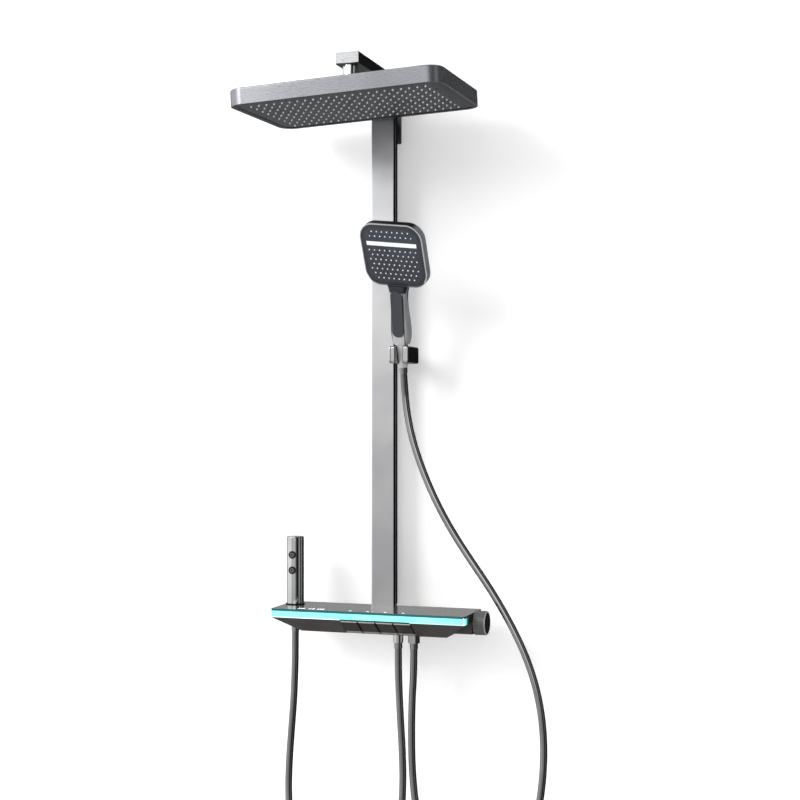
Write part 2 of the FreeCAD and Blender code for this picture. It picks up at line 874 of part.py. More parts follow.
def build_wall_bracket():
    """The upper bracket: a flange on the wall and a post to the column's back."""
    body = new_body("bracket_body")
    flange_sketch = new_sketch(body, "XZ_Plane", "bracket_flange_outline")
    draw_rectangle(
        flange_sketch, "-bracket_width / 2", "bracket_width / 2",
        "bracket_level - bracket_height / 2", "bracket_level + bracket_height / 2")
    flange = pad(body, flange_sketch, "bracket_flange", "bracket_flange_plate")
    rounded = round_edges(
        body, flange, "bracket_edge", "bracket_corners", lambda middle, way: abs(way.y) > 0.999)
    post_sketch = new_sketch(body, "XZ_Plane", "bracket_post_outline")
    draw_rectangle(
        post_sketch, "-bracket_post / 2", "bracket_post / 2",
        "bracket_level - bracket_post / 2", "bracket_level + bracket_post / 2")
    pad(body, post_sketch, "column_gap", "bracket_post_block")
    holes = [
        rod(f"bracket_hole_{name}", "bracket_hole_radius", "bracket_flange + 2 * cut_overrun",
            y="-bracket_flange - cut_overrun",
            z=f"bracket_level {sign} bracket_hole_spacing / 2", along="Y")
        for name, sign in (("top", "+"), ("bottom", "-"))
    ]
    return node(cut("wall_bracket", body, *holes), "wall_bracket")


# Water inlets

def build_inlets():
    """Wall unions, union nuts and rosettes, one of each for hot and cold."""
    unions = []
    nuts = []
    rosettes = []
    for name, sign in (("hot", "-"), ("cold", "")):
        side = f"{sign}inlet_spacing / 2"
        thread = rod(
            f"union_thread_{name}", "wall_thread_radius", "wall_thread_length", side,
            along="Y")
        relief = rod(
            f"union_relief_{name}", "wall_thread_radius - wall_thread_relief", "union_start",
            side, "-union_start", along="Y")
        sleeve = rod(
            f"union_sleeve_{name}", "union_radius", "union_end - union_start",
            side, "-union_end", along="Y")
        way = rod(
            f"union_way_{name}", "union_bore",
            "union_end + wall_thread_length + 2 * cut_overrun",
            side, "-union_end - cut_overrun", along="Y")
        solid = fuse(f"union_solid_{name}", thread, relief, sleeve)
        unions.append(cut(f"union_{name}", solid, way))
        prism = hexagon(
            f"nut_prism_{name}", "nut_across_flats", "nut_front - nut_rear",
            side, "-nut_front", along="Y")
        seat = rod(
            f"nut_seat_{name}", "tail_radius + running_fit", "nut_wall + 2 * cut_overrun",
            side, "-nut_front - cut_overrun", along="Y")
        thread_room = rod(
            f"nut_room_{name}", "union_radius", "nut_front - nut_wall - nut_rear + cut_overrun",
            side, "-nut_front + nut_wall", along="Y")
        nuts.append(cut(f"nut_{name}", prism, seat, thread_room))
        body = new_body(f"rosette_{name}")
        sketch = new_sketch(body, "XZ_Plane", f"rosette_outline_{name}")
        low = "-rosette_drop - rosette_height / 2"
        high = "-rosette_drop + rosette_height / 2"
        draw_rectangle(
            sketch, f"{side} - rosette_width / 2", f"{side} + rosette_width / 2", low, high)
        plate = pad(body, sketch, "rosette_depth", f"rosette_plate_{name}")
        front = -size("rosette_depth")
        break_edges(
            body, plate, "rosette_edge", f"rosette_bevel_{name}",
            lambda middle, way: abs(middle.y - front) < 0.001 and abs(way.y) < 0.001)
        hole = rod(
            f"rosette_hole_{name}", "wall_thread_radius + running_fit",
            "rosette_depth + 2 * cut_overrun", side, "-rosette_depth - cut_overrun", along="Y")
        rosettes.append(cut(f"rosette_cut_{name}", body, hole))
    return (
        node(group("inlet_unions", *unions), "inlet_unions"),
        node(group("inlet_nuts", *nuts), "inlet_nuts"),
        node(group("rosettes", *rosettes), "rosettes"),
    )


# Mixer

def build_shelf_plate():
    """The dark plate that makes the shelf, with holes for the gun and the column's foot."""
    body = new_body("plate_body")
    sketch = new_sketch(body, "XY_Plane", "plate_outline", PLATE_UNDER)
    draw_rectangle(sketch, SHELF_LEFT, SHELF_RIGHT, SHELF_FRONT, SHELF_BACK)
    plate = pad(body, sketch, "plate_thick", "plate_slab")
    round_edges(body, plate, "plate_corner", "plate_corners", upright)
    hole = rod(
        "plate_socket_hole", "socket_radius + running_fit", "plate_thick + 2 * cut_overrun",
        "-sprayer_left", "-sprayer_setback", f"{PLATE_UNDER} - cut_overrun")
    return node(cut("shelf_plate", body, hole), "shelf_plate")


def build_light_guide():
    """The light strip along the shelf's front that turns both corners."""
    body = new_body("light_guide")
    sketch = new_sketch(body, "XY_Plane", "light_outline", HULL_TOP)
    left_inside = f"{SHELF_LEFT} + light_thick"
    right_inside = f"{SHELF_RIGHT} - light_thick"
    front_inside = f"{SHELF_FRONT} + light_thick"
    end = f"{SHELF_FRONT} + light_return"
    draw_polygon(sketch, (
        (SHELF_LEFT, SHELF_FRONT), (SHELF_RIGHT, SHELF_FRONT), (SHELF_RIGHT, end),
        (right_inside, end), (right_inside, front_inside), (left_inside, front_inside),
        (left_inside, end), (SHELF_LEFT, end),
    ))
    strip = pad(body, sketch, "light_height", "light_strip")
    outer = -size("shelf_gap") - size("shelf_depth")
    round_edges(
        body, strip, "light_thick - body_clearance", "light_corners",
        lambda middle, way: upright(middle, way) and abs(middle.y - outer) < 0.001)
    return node(body, "light_guide")


def wedge(label, low_inset, top_inset, floor, roof):
    """The mixer's tapered hull between two levels, drawn in by insets given as formulas."""
    tapered = DOC.addObject("Part::Wedge", label)
    tapered.Placement = FreeCAD.Placement(FreeCAD.Vector(), FreeCAD.Rotation(X_AXIS, 90))
    share = f"(({HULL_TOP} - {floor}) / hull_height)"
    bind(
        tapered,
        Ymin=floor, Ymax=roof,
        Xmin=f"{SHELF_LEFT} + hull_end_rake * {share} + {low_inset}",
        Xmax=f"{SHELF_RIGHT} - hull_end_rake * {share} - {low_inset}",
        Zmin=f"shelf_gap + {low_inset}",
        Zmax=f"shelf_gap + shelf_depth - hull_front_rake * {share} - {low_inset}",
        X2min=f"{SHELF_LEFT} + {top_inset}", X2max=f"{SHELF_RIGHT} - {top_inset}",
        Z2min=f"shelf_gap + {top_inset}", Z2max=f"shelf_gap + shelf_depth - {top_inset}",
    )
    return tapered


def slope_frame(thing, along, inwards, x):
    """Lay a thing built flat against the hull's sloping front, a distance down and in."""
    thing.Placement = FreeCAD.Placement(FreeCAD.Vector(), FreeCAD.Rotation(X_AXIS, 1))
    thing.setExpression("Placement.Rotation.Angle", formula(f"-{HULL_SLOPE}"))
    return place(
        thing, x,
        f"{SHELF_FRONT} + ({along}) * cos({HULL_SLOPE}) + ({inwards}) * sin({HULL_SLOPE})",
        f"{HULL_TOP} - ({along}) * sin({HULL_SLOPE}) + ({inwards}) * cos({HULL_SLOPE})")


def build_mixer_cover():
    """The hollow hull under the shelf, tapered to the front and both ends."""
    band_body = new_body("cover_band")
    sketch = new_sketch(band_body, "XY_Plane", "band_outline", HULL_TOP)
    left_inside = f"{SHELF_LEFT} + light_thick"
    right_inside = f"{SHELF_RIGHT} - light_thick"
    front_inside = f"{SHELF_FRONT} + light_thick"
    step = f"{SHELF_FRONT} + light_return"
    draw_polygon(sketch, (
        (left_inside, front_inside), (right_inside, front_inside), (right_inside, step),
        (SHELF_RIGHT, step), (SHELF_RIGHT, SHELF_BACK), (SHELF_LEFT, SHELF_BACK),
        (SHELF_LEFT, step), (left_inside, step),
    ))
    pad(band_body, sketch, "light_height", "band_slab")
    outside = wedge("cover_outside", "0", "0", HULL_BOTTOM, HULL_TOP)
    neck_body = new_body("cover_neck")
    neck_sketch = new_sketch(neck_body, "YZ_Plane", "neck_outline", "neck_start")
    draw_rectangle(
        neck_sketch, "-axis_setback - neck_width / 2", "-axis_setback + neck_width / 2",
        "axis_rise - neck_drop", HULL_TOP)
    neck = pad(neck_body, neck_sketch, f"{SHELF_RIGHT} - neck_start", "neck_block")
    neck_low = size("axis_rise") - size("neck_drop")
    round_edges(
        neck_body, neck, "neck_corner", "neck_corners",
        lambda middle, way: abs(way.x) > 0.999 and abs(middle.z - neck_low) < 0.001)
    solid = fuse("cover_solid", band_body, outside, neck_body)
    tools = [
        wedge("cover_inside", "hull_inset", "hull_inset",
              f"({HULL_BOTTOM} + hull_wall)", HULL_TOP),
        block("cover_band_room", f"{SHELF_LEFT} + light_thick + hull_wall",
              f"{SHELF_FRONT} + light_thick + hull_wall", HULL_TOP,
              "shelf_width - 2 * (light_thick + hull_wall)",
              "shelf_depth - light_thick - 2 * hull_wall", "light_height + cut_overrun"),
        block("cover_board_slot", f"{SHELF_LEFT} + board_margin",
              f"{SHELF_FRONT} + light_thick - cut_overrun",
              f"{PLATE_UNDER} - light_height / 2 - board_height / 2",
              "shelf_width - 2 * board_margin", "hull_wall + 2 * cut_overrun", "board_height"),
        rod("cover_cartridge_room", "cartridge_flange_radius + running_fit",
            f"{SHELF_RIGHT} - neck_start + 2 * board_margin",
            "neck_start - board_margin", "-axis_setback", "axis_rise", "X"),
        slope_frame(
            block("cover_key_window", "0", "0", "0",
                  "(key_width + (key_pitch * 3)) + 2 * key_side_gap",
                  "key_length + 2 * key_end_gap + cut_overrun",
                  "2 * key_thick + hull_wall"),
            "key_start - key_end_gap", "-key_thick", "-key_left - key_side_gap"),
        rod("cover_foot_hole", "foot_nipple_radius + running_fit", "hull_wall + 2 * cut_overrun",
            "0", "-shelf_gap - hull_wall - cut_overrun", "axis_rise", "Y"),
        rod("cover_socket_hole", "socket_radius + running_fit",
            "hull_height + light_height + plate_thick",
            "-sprayer_left", "-sprayer_setback", HULL_BOTTOM),
    ]
    for name, sign in (("hot", "-"), ("cold", "")):
        tools.append(rod(
            f"cover_inlet_hole_{name}", "tail_radius + running_fit",
            "hull_inset + 2 * cut_overrun", f"{sign}inlet_spacing / 2",
            "-shelf_gap - hull_inset - cut_overrun", "0", "Y"))
    for name in ("spray_outlet_right", "hand_outlet_right"):
        tools.append(rod(
            f"cover_{name}_hole", "outlet_radius + hull_hole_slack",
            "hull_wall + 2 * cut_overrun", name, "-axis_setback - outlet_front",
            f"{HULL_BOTTOM} - cut_overrun"))
    for name, text in (("left", "-cover_screw_left"), ("right", "cover_screw_right")):
        tools.append(rod(
            f"cover_screw_hole_{name}", "screw_radius", "hull_wall + 2 * cut_overrun",
            text, "-axis_setback", f"{HULL_BOTTOM} - cut_overrun"))
    return node(cut("mixer_cover", solid, *tools), "mixer_cover")


def build_cover_screws():
    """The two screws that hold the hull up to the valve body."""
    screws = []
    for name, text in (("left", "-cover_screw_left"), ("right", "cover_screw_right")):
        head = taper(
            f"cover_screw_head_{name}", "screw_head_radius", "screw_radius",
            "screw_head_height", text, "-axis_setback", f"{HULL_BOTTOM} - screw_head_height")
        shank = rod(
            f"cover_screw_shank_{name}", "screw_radius", "cover_screw_length",
            text, "-axis_setback", HULL_BOTTOM)
        screws.append(fuse(f"cover_screw_{name}", head, shank))
    return node(group("cover_screws", *screws), "cover_screws")


def build_led_board():
    """The strip of lamps behind the light guide."""
    board = block(
        "led_board", f"{SHELF_LEFT} + board_margin", f"{SHELF_FRONT} + light_thick",
        f"{PLATE_UNDER} - light_height / 2 - board_height / 2",
        "shelf_width - 2 * board_margin", "board_thick", "board_height")
    return node(board, "led_board")


def build_display():
    """The display that shows through the plate."""
    module = block(
        "display_module", "-display_left",
        f"{SHELF_FRONT} + light_thick + hull_wall + display_front",
        f"{PLATE_UNDER} - display_height", "display_width", "display_depth", "display_height")
    return node(module, "display_module")


def build_valve_body():
    """The brass valve body: a bar, two inlet tails, two outlets and the keys' block."""
    body = new_body("valve_bar")
    sketch = new_sketch(body, "YZ_Plane", "bar_outline", "-bar_left")
    draw_rectangle(
        sketch, "-axis_setback - bar_half", "-axis_setback + bar_half",
        BAR_LOW, "axis_rise + bar_half")
    bar = pad(body, sketch, "bar_left + bar_right", "bar_length")
    break_edges(
        body, bar, "bar_edge", "bar_edges",
        lambda middle, way: abs(way.x) > 0.999 and middle.y > -size("axis_setback"))
    block_body = new_body("key_block")
    block_sketch = new_sketch(block_body, "YZ_Plane", "key_block_outline", "-key_left")
    bar_face = "(-axis_setback - bar_half)"
    draw_polygon(block_sketch, (
        (bar_face, BAR_LOW), (bar_face, "axis_rise + bar_half"),
        ("-axis_setback - block_front", "axis_rise + bar_half"),
        ("-axis_setback - block_front", "axis_rise + bar_half - block_step"),
        ("-axis_setback - block_foot", BAR_LOW),
    ))
    pad(block_body, block_sketch, "3 * key_pitch + key_width", "key_block_length")
    pieces = [body, block_body]
    for name, sign in (("hot", "-"), ("cold", "")):
        side = f"{sign}inlet_spacing / 2"
        pieces.append(rod(
            f"tail_{name}", "tail_radius", "axis_setback - bar_half - union_end",
            side, "-axis_setback + bar_half", along="Y"))
        pieces.append(rod(
            f"tail_collar_{name}", "tail_collar_radius", "tail_collar_length",
            side, "-union_end - tail_collar_length", along="Y"))
    solid = fuse("valve_casting", *pieces)
    tools = [
        rod("bar_cartridge_bore", "cartridge_bore", "cartridge_depth + cut_overrun",
            "bar_right - cartridge_depth", "-axis_setback", "axis_rise", "X"),
        rod("bar_mixing_way", "union_bore", "bar_left + bar_right - cartridge_depth",
            "-bar_left", "-axis_setback", "axis_rise", "X"),
        rod("bar_column_way", "ball_waterway", "bar_half",
            y="-axis_setback", z="axis_rise", along="Y"),
    ]
    for name, sign in (("hot", "-"), ("cold", "")):
        tools.append(rod(
            f"tail_way_{name}", "union_bore", "axis_setback - union_end",
            f"{sign}inlet_spacing / 2", "-axis_setback", along="Y"))
    for name in ("spray_outlet_right", "hand_outlet_right"):
        tools.append(rod(
            f"bar_{name}_way", "outlet_radius", "bar_half - bar_edge",
            name, "-axis_setback - outlet_front", BAR_LOW))
    for name, text in (("left", "-cover_screw_left"), ("right", "cover_screw_right")):
        tools.append(rod(
            f"bar_screw_hole_{name}", "screw_radius",
            f"cover_screw_length - ({BAR_LOW} - {HULL_BOTTOM})",
            text, "-axis_setback", BAR_LOW))
    for number in range(KEY_COUNT):
        valve_room = rod(f"bar_key_room_{number + 1}", "key_valve_radius", "key_valve_length")
        tools.append(slope_frame(
            valve_room, "key_start + key_stem_along", "key_valve_start",
            f"-key_left + key_width / 2 + {number} * key_pitch"))
    return node(cut("valve_body", solid, *tools), "valve_body")


def build_outlets():
    """The threaded outlets for the two hoses."""
    outlets = []
    for name in ("spray_outlet_right", "hand_outlet_right"):
        stub = rod(
            f"{name}_stub", "outlet_radius", "outlet_length + bar_half - bar_edge",
            name, "-axis_setback - outlet_front", f"{BAR_LOW} - outlet_length")
        way = rod(
            f"{name}_bore", "ball_waterway",
            "outlet_length + bar_half - bar_edge + 2 * cut_overrun",
            name, "-axis_setback - outlet_front", f"{BAR_LOW} - outlet_length - cut_overrun")
        outlets.append(cut(f"{name}_union", stub, way))
    return node(group("outlet_unions", *outlets), "outlet_unions")


def build_cartridge():
    """The thermostatic cartridge, stepped into the bar's right end."""
    nose = rod(
        "cartridge_nose", "cartridge_bore - running_fit", "cartridge_depth",
        "bar_right - cartridge_depth", "-axis_setback", "axis_rise", "X")
    flange = rod(
        "cartridge_flange", "cartridge_flange_radius", "cartridge_flange_length",
        "bar_right", "-axis_setback", "axis_rise", "X")
    nut = hexagon(
        "cartridge_nut", "2 * cartridge_nut_radius * cos(30)", "cartridge_nut_length",
        "bar_right + cartridge_flange_length", "-axis_setback", "axis_rise", "X")
    solid = fuse("cartridge_solid", nose, flange, nut)
    room = rod(
        "cartridge_spindle_room", "spindle_radius + running_fit",
        "spindle_inside + cartridge_nut_length + cut_overrun",
        "bar_right + cartridge_flange_length - spindle_inside", "-axis_setback",
        "axis_rise", "X")
    return node(cut("thermostatic_cartridge", solid, room), "thermostatic_cartridge")


def build_spindle():
    """The spindle that the temperature knob turns in the cartridge."""
    spindle = rod(
        "cartridge_spindle", "spindle_radius",
        f"{SHELF_RIGHT} + knob_gap + knob_length - knob_cap_inset"
        " - bar_right - cartridge_flange_length + spindle_inside - slide_clearance",
        "bar_right + cartridge_flange_length - spindle_inside + slide_clearance",
        "-axis_setback", "axis_rise", "X")
    return node(spindle, "cartridge_spindle")


def build_knob():
    """The fluted temperature knob on the right end."""
    body = new_body("knob_body")
    sketch = new_sketch(body, "YZ_Plane", "knob_outline", f"{SHELF_RIGHT} + knob_gap")
    draw_circle(sketch, "-axis_setback", "axis_rise", "knob_radius")
    drum = pad(body, sketch, "knob_length", "knob_drum")
    break_edges(
        body, drum, "knob_edge", "knob_bevels", lambda middle, way: abs(way.x) < 0.001)
    cavity = rod(
        "knob_cavity", "knob_cavity_radius", "knob_cavity_depth + cut_overrun",
        f"{SHELF_RIGHT} + knob_gap - cut_overrun", "-axis_setback", "axis_rise", "X")
    hub = rod(
        "knob_hub", "knob_hub_radius", "knob_cavity_depth + cut_overrun",
        f"{SHELF_RIGHT} + knob_gap - cut_overrun", "-axis_setback", "axis_rise", "X")
    hollow = cut("knob_hollow", cavity, hub)
    bore = rod(
        "knob_bore", "spindle_radius", "knob_length + 2 * cut_overrun",
        f"{SHELF_RIGHT} + knob_gap - cut_overrun", "-axis_setback", "axis_rise", "X")
    cap_seat = rod(
        "knob_cap_seat", "knob_cap_radius", "knob_cap_inset + cut_overrun",
        f"{SHELF_RIGHT} + knob_gap + knob_length - knob_cap_inset", "-axis_setback",
        "axis_rise", "X")
    flutes = shaped("knob_flutes", knob_flutes())
    return node(
        cut("temperature_knob", body, hollow, bore, cap_seat, flutes), "temperature_knob")


def knob_flutes():
    """A ring of round flutes cut into the knob's rim."""
    start = value(f"{SHELF_RIGHT} + knob_gap + knob_edge")
    length = value("knob_length - 2 * knob_edge")
    reach = value("knob_radius + knob_flute_radius / 2")
    flutes = []
    for number in range(KNOB_FLUTES):
        turn = math.tau * number / KNOB_FLUTES
        centre = FreeCAD.Vector(
            start,
            -size("axis_setback") + reach * math.cos(turn),
            size("axis_rise") + reach * math.sin(turn))
        flutes.append(Part.makeCylinder(size("knob_flute_radius"), length, centre, X_AXIS))
    return Part.makeCompound(flutes)


def build_knob_cap():
    """The black cap in the knob's end."""
    cap = rod(
        "knob_cap", "knob_cap_radius", "knob_cap_thick",
        f"{SHELF_RIGHT} + knob_gap + knob_length - knob_cap_inset", "-axis_setback",
        "axis_rise", "X")
    return node(cap, "knob_cap")


def build_key(number):
    """One key: a bar in the hull's sloping front with a stem into its valve."""
    name = f"key_{number + 1}"
    body = new_body(f"{name}_bar")
    sketch = new_sketch(body, "YZ_Plane", f"{name}_outline")
    top = "(key_thick - key_proud)"
    draw_polygon(sketch, (
        ("0", "-key_proud"), ("key_lip", "-key_proud"), ("key_length - key_lip", "-key_proud"),
        ("key_length", "-key_proud + key_lip_depth"), ("key_length", top), ("0", top),
    ))
    bar = pad(body, sketch, "key_width", f"{name}_length")
    wide = size("key_width")
    face = -size("key_proud")
    break_edges(
        body, bar, "key_edge", f"{name}_edges",
        lambda middle, way: abs(middle.z - face) < 0.001
        and (abs(middle.x) < 0.001 or abs(middle.x - wide) < 0.001 or middle.y < 0.001))
    stem = rod(
        f"{name}_stem", "key_stem_radius", f"key_stem_length + {top}",
        "key_width / 2", "key_stem_along", "0")
    key = fuse(name, body, stem)
    slope_frame(key, "key_start", "0", f"-key_left + {number} * key_pitch")
    return node(key, name)


def build_key_valves():
    """The four stop valves that the keys' stems press."""
    valves = []
    for number in range(KEY_COUNT):
        shell = rod(f"key_valve_shell_{number + 1}", "key_valve_radius", "key_valve_length")
        room = rod(
            f"key_valve_room_{number + 1}", "key_stem_radius + running_fit",
            "key_valve_bore_length + cut_overrun", z="-cut_overrun")
        valve = cut(f"key_valve_{number + 1}", shell, room)
        valves.append(slope_frame(
            valve, "key_start + key_stem_along", "key_valve_start",
            f"-key_left + key_width / 2 + {number} * key_pitch"))
    return node(group("key_valves", *valves), "key_valves")


def build_generator():
    """The small turbine generator on the bar's left end that feeds the lights."""
    centre = "(-bar_left - generator_length / 2)"
    shell = rod(
        "generator_shell", "generator_radius", "generator_length",
        "-bar_left - generator_length", "-axis_setback", "axis_rise", "X")
    room = rod(
        "generator_room", "rotor_radius + rotor_room", "rotor_length + 2 * rotor_room",
        f"{centre} - rotor_length / 2 - rotor_room", "-axis_setback", "axis_rise", "X")
    shaft_room = rod(
        "generator_shaft_room", "rotor_shaft_radius + running_fit",
        "rotor_shaft_length + 2 * running_fit",
        f"{centre} - rotor_shaft_length / 2 - running_fit", "-axis_setback", "axis_rise", "X")
    node(cut("generator_housing", shell, room, shaft_room), "generator_housing")
    hub = rod(
        "rotor_hub", "rotor_hub_radius", "rotor_length",
        f"{centre} - rotor_length / 2", "-axis_setback", "axis_rise", "X")
    shaft = rod(
        "rotor_shaft", "rotor_shaft_radius", "rotor_shaft_length",
        f"{centre} - rotor_shaft_length / 2", "-axis_setback", "axis_rise", "X")
    blades = shaped("rotor_blades", rotor_blades())
    return node(fuse("generator_rotor", hub, shaft, blades), "generator_rotor")


def rotor_blades():
    """Flat blades round the rotor's hub."""
    centre = -size("bar_left") - size("generator_length") / 2
    blades = []
    for number in range(ROTOR_BLADES):
        blade = Part.makeBox(
            size("rotor_length"), size("rotor_blade_thick"), size("rotor_radius"),
            FreeCAD.Vector(-size("rotor_length") / 2, -size("rotor_blade_thick") / 2, 0))
        blade.rotate(FreeCAD.Vector(), X_AXIS, 360 * number / ROTOR_BLADES)
        blade.translate(FreeCAD.Vector(centre, -size("axis_setback"), size("axis_rise")))
        blades.append(blade)
    return Part.makeCompound(blades)


# Overhead head

def head_frame():
    """Where the head's own frame lies: its ball's centre, tilted and rolled as it rests."""
    roll = FreeCAD.Rotation(Y_AXIS, size("head_roll"))
    tilt = FreeCAD.Rotation(X_AXIS, size("head_tilt"))
    return FreeCAD.Placement(
        FreeCAD.Vector(0, value(STEM_PLACE), size("ball_level")), roll.multiply(tilt))


def head_outline(inset):
    """The sides and corner of the head's outline, drawn in all round."""
    return (
        f"(-head_width / 2 + {inset})", f"(head_width / 2 - {inset})",
        f"(head_setback - head_depth / 2 + {inset})",
        f"(head_setback + head_depth / 2 - {inset})", f"(head_corner - {inset})",
    )


def build_ball_stem():
    """The collar that turns on the arm's spigot, with the ball below it."""
    collar = rod(
        "stem_collar", "collar_radius",
        "column_top - body_clearance - ball_level - collar_rise",
        y=STEM_PLACE, z="ball_level + collar_rise")
    shoulder = taper(
        "stem_shoulder", "ball_neck_radius", "collar_radius", "collar_taper",
        y=STEM_PLACE, z="ball_level + collar_rise - collar_taper")
    neck = rod(
        "stem_neck", "ball_neck_radius", "collar_rise", y=STEM_PLACE, z="ball_level")
    knob = ball("stem_ball", "ball_radius", y=STEM_PLACE, z="ball_level")
    solid = fuse("stem_solid", collar, shoulder, neck, knob)
    spigot_room = rod(
        "stem_spigot_room", "spigot_radius + body_clearance",
        "spigot_length + cut_overrun", y=STEM_PLACE,
        z="column_top - spigot_length - body_clearance")
    way = rod(
        "stem_way", "ball_waterway", "column_top - ball_level + ball_radius",
        y=STEM_PLACE, z="ball_level - ball_radius - cut_overrun")
    return node(cut("ball_stem", solid, spigot_room, way), "ball_stem")


def build_head_cover():
    """The head's upper shell with the boss for the ball and four screw posts."""
    outside = slab(
        "cover_block", "XY_Plane", head_outline("0"), HEAD_LOW, "head_height")
    top = -size("head_drop")
    round_edges(
        outside, outside.Tip, "head_edge", "cover_top_edge",
        lambda middle, way: abs(middle.z - top) < 0.001)
    inside = slab(
        "cover_hollow", "XY_Plane", head_outline("head_wall"),
        f"{HEAD_LOW} - cut_overrun", "head_height - head_wall + cut_overrun")
    shell = cut("cover_shell", outside, inside)
    boss = rod("cover_boss", "boss_radius", "boss_bottom - boss_top", z="-boss_bottom")
    posts = []
    holes = []
    for number, (x, y) in enumerate(post_places(), 1):
        posts.append(rod(
            f"cover_post_{number}", "post_radius", "boss_bottom - head_drop - head_wall",
            x, y, "-boss_bottom"))
        holes.append(rod(
            f"cover_post_hole_{number}", "screw_radius",
            f"{HEAD_LOW} + face_thick + gasket_thick + head_screw_length + boss_bottom"
            " + cut_overrun", x, y, "-boss_bottom - cut_overrun"))
    solid = fuse("cover_with_boss", shell, boss, *posts)
    tools = [
        ball("cover_ball_room", "ball_radius + body_clearance"),
        rod("cover_seal_room", "seal_radius + running_fit", "seal_bottom", z="-seal_bottom"),
        rod("cover_waterway", "seal_bore", "boss_bottom", z="-boss_bottom"),
    ]
    cover = cut("head_top_cover", solid, *tools, *holes)
    cover.Placement = head_frame()
    return node(cover, "head_top_cover")


def post_places():
    """Where the four screw posts stand in the head."""
    for x in ("(-head_width / 2 + post_inset)", "(head_width / 2 - post_inset)"):
        for y in ("(head_setback - head_depth / 2 + post_inset)",
                  "(head_setback + head_depth / 2 - post_inset)"):
            yield x, y


def build_ball_nut():
    """The nut over the ball on the head's boss."""
    skirt = rod("ball_nut_skirt", "ball_nut_radius",
                "boss_top + ball_nut_top - ball_nut_edge", z="-boss_top")
    brow = taper(
        "ball_nut_brow", "ball_nut_radius", "ball_nut_radius - ball_nut_edge",
        "ball_nut_edge", z="ball_nut_top - ball_nut_edge")
    nut = cut(
        "ball_nut", fuse("ball_nut_solid", skirt, brow),
        ball("ball_nut_room", "ball_radius + body_clearance"),
        rod("ball_nut_mouth", "ball_nut_mouth", "ball_nut_top + cut_overrun"))
    nut.Placement = head_frame()
    return node(nut, "ball_nut")


def build_ball_seal():
    """The cup seal that the ball turns on."""
    disc = rod("seal_disc", "seal_radius", "seal_bottom - seal_top", z="-seal_bottom")
    seal = cut(
        "ball_seal", disc, ball("seal_cup", "ball_radius + 2 * running_fit"),
        rod("seal_way", "seal_bore", "seal_bottom + cut_overrun",
            z="-seal_bottom - cut_overrun"))
    seal.Placement = head_frame()
    return node(seal, "ball_seal")


def build_head_face():
    """The rim plate, the gasket and the water box in the head's shell."""
    outer = "(head_wall + face_clearance)"
    opening = "(head_wall + face_clearance + face_rim)"
    gasket_outer = "(head_wall + face_clearance + face_rim - gasket_width)"
    rim = cut(
        "head_face_plate",
        slab("rim_plate", "XY_Plane", head_outline(outer), HEAD_LOW, "face_thick"),
        slab("rim_opening", "XY_Plane", head_outline(opening),
             f"{HEAD_LOW} - cut_overrun", "face_thick + 2 * cut_overrun"))
    gasket_low = f"({HEAD_LOW} + face_thick)"
    gasket = cut(
        "head_gasket",
        slab("gasket_plate", "XY_Plane", head_outline(gasket_outer), gasket_low,
             "gasket_thick"),
        slab("gasket_opening", "XY_Plane", head_outline(opening),
             f"{gasket_low} - cut_overrun", "gasket_thick + 2 * cut_overrun"))
    box_low = f"({HEAD_LOW} + face_thick + gasket_thick)"
    box = slab(
        "box_block", "XY_Plane", head_outline(gasket_outer), box_low,
        f"-boss_bottom - {box_low}")
    cavity = "(post_inset + post_radius + box_wall)"
    room = block(
        "box_room", f"-head_width / 2 + {cavity}",
        f"head_setback - head_depth / 2 + {cavity}", f"{box_low} - cut_overrun",
        f"head_width - 2 * {cavity}", f"head_depth - 2 * {cavity}",
        f"-boss_bottom - {box_low} - box_wall + cut_overrun")
    tools = [room, rod(
        "box_inlet", "seal_bore", "box_wall + 2 * cut_overrun",
        z="-boss_bottom - box_wall - cut_overrun")]
    for number, (x, y) in enumerate(post_places(), 1):
        tools.append(taper(
            f"box_screw_seat_{number}", "screw_head_radius", "screw_radius",
            "screw_head_height", x, y, box_low))
        tools.append(rod(
            f"box_screw_hole_{number}", "screw_radius", "head_screw_length", x, y, box_low))
    water_box = cut("head_water_box", box, *tools)
    for thing in (rim, gasket, water_box):
        thing.Placement = head_frame()
    return (
        node(rim, "head_face_plate"), node(gasket, "head_gasket"),
        node(water_box, "head_water_box"),
    )


def build_head_screws():
    """The screws that hold the water box up to the posts."""
    screws = []
    low = f"({HEAD_LOW} + face_thick + gasket_thick)"
    for number, (x, y) in enumerate(post_places(), 1):
        head = taper(
            f"head_screw_head_{number}", "screw_head_radius", "screw_radius",
            "screw_head_height", x, y, low)
        shank = rod(
            f"head_screw_shank_{number}", "screw_radius", "head_screw_length", x, y, low)
        screws.append(fuse(f"head_screw_{number}", head, shank))
    screws = group("head_screws", *screws)
    screws.Placement = head_frame()
    return node(screws, "head_screws")


def lattice(half_width, half_depth, pitch, margin, corner):
    """Places of a staggered lattice inside a rectangle with round corners."""
    row_step = pitch * LATTICE_ROW_SHARE
    rows = int((half_depth - margin) / row_step)
    for row in range(-rows, rows + 1):
        shift = pitch / 2 if row % 2 else 0
        columns = int((half_width - margin - shift) / pitch)
        for column in range(-columns - (1 if shift else 0), columns + 1):
            x = column * pitch + shift
            y = row * row_step
            past_x = abs(x) - (half_width - corner)
            past_y = abs(y) - (half_depth - corner)
            if past_x > 0 and past_y > 0 and math.hypot(past_x, past_y) > corner - margin:
                continue
            yield x, y


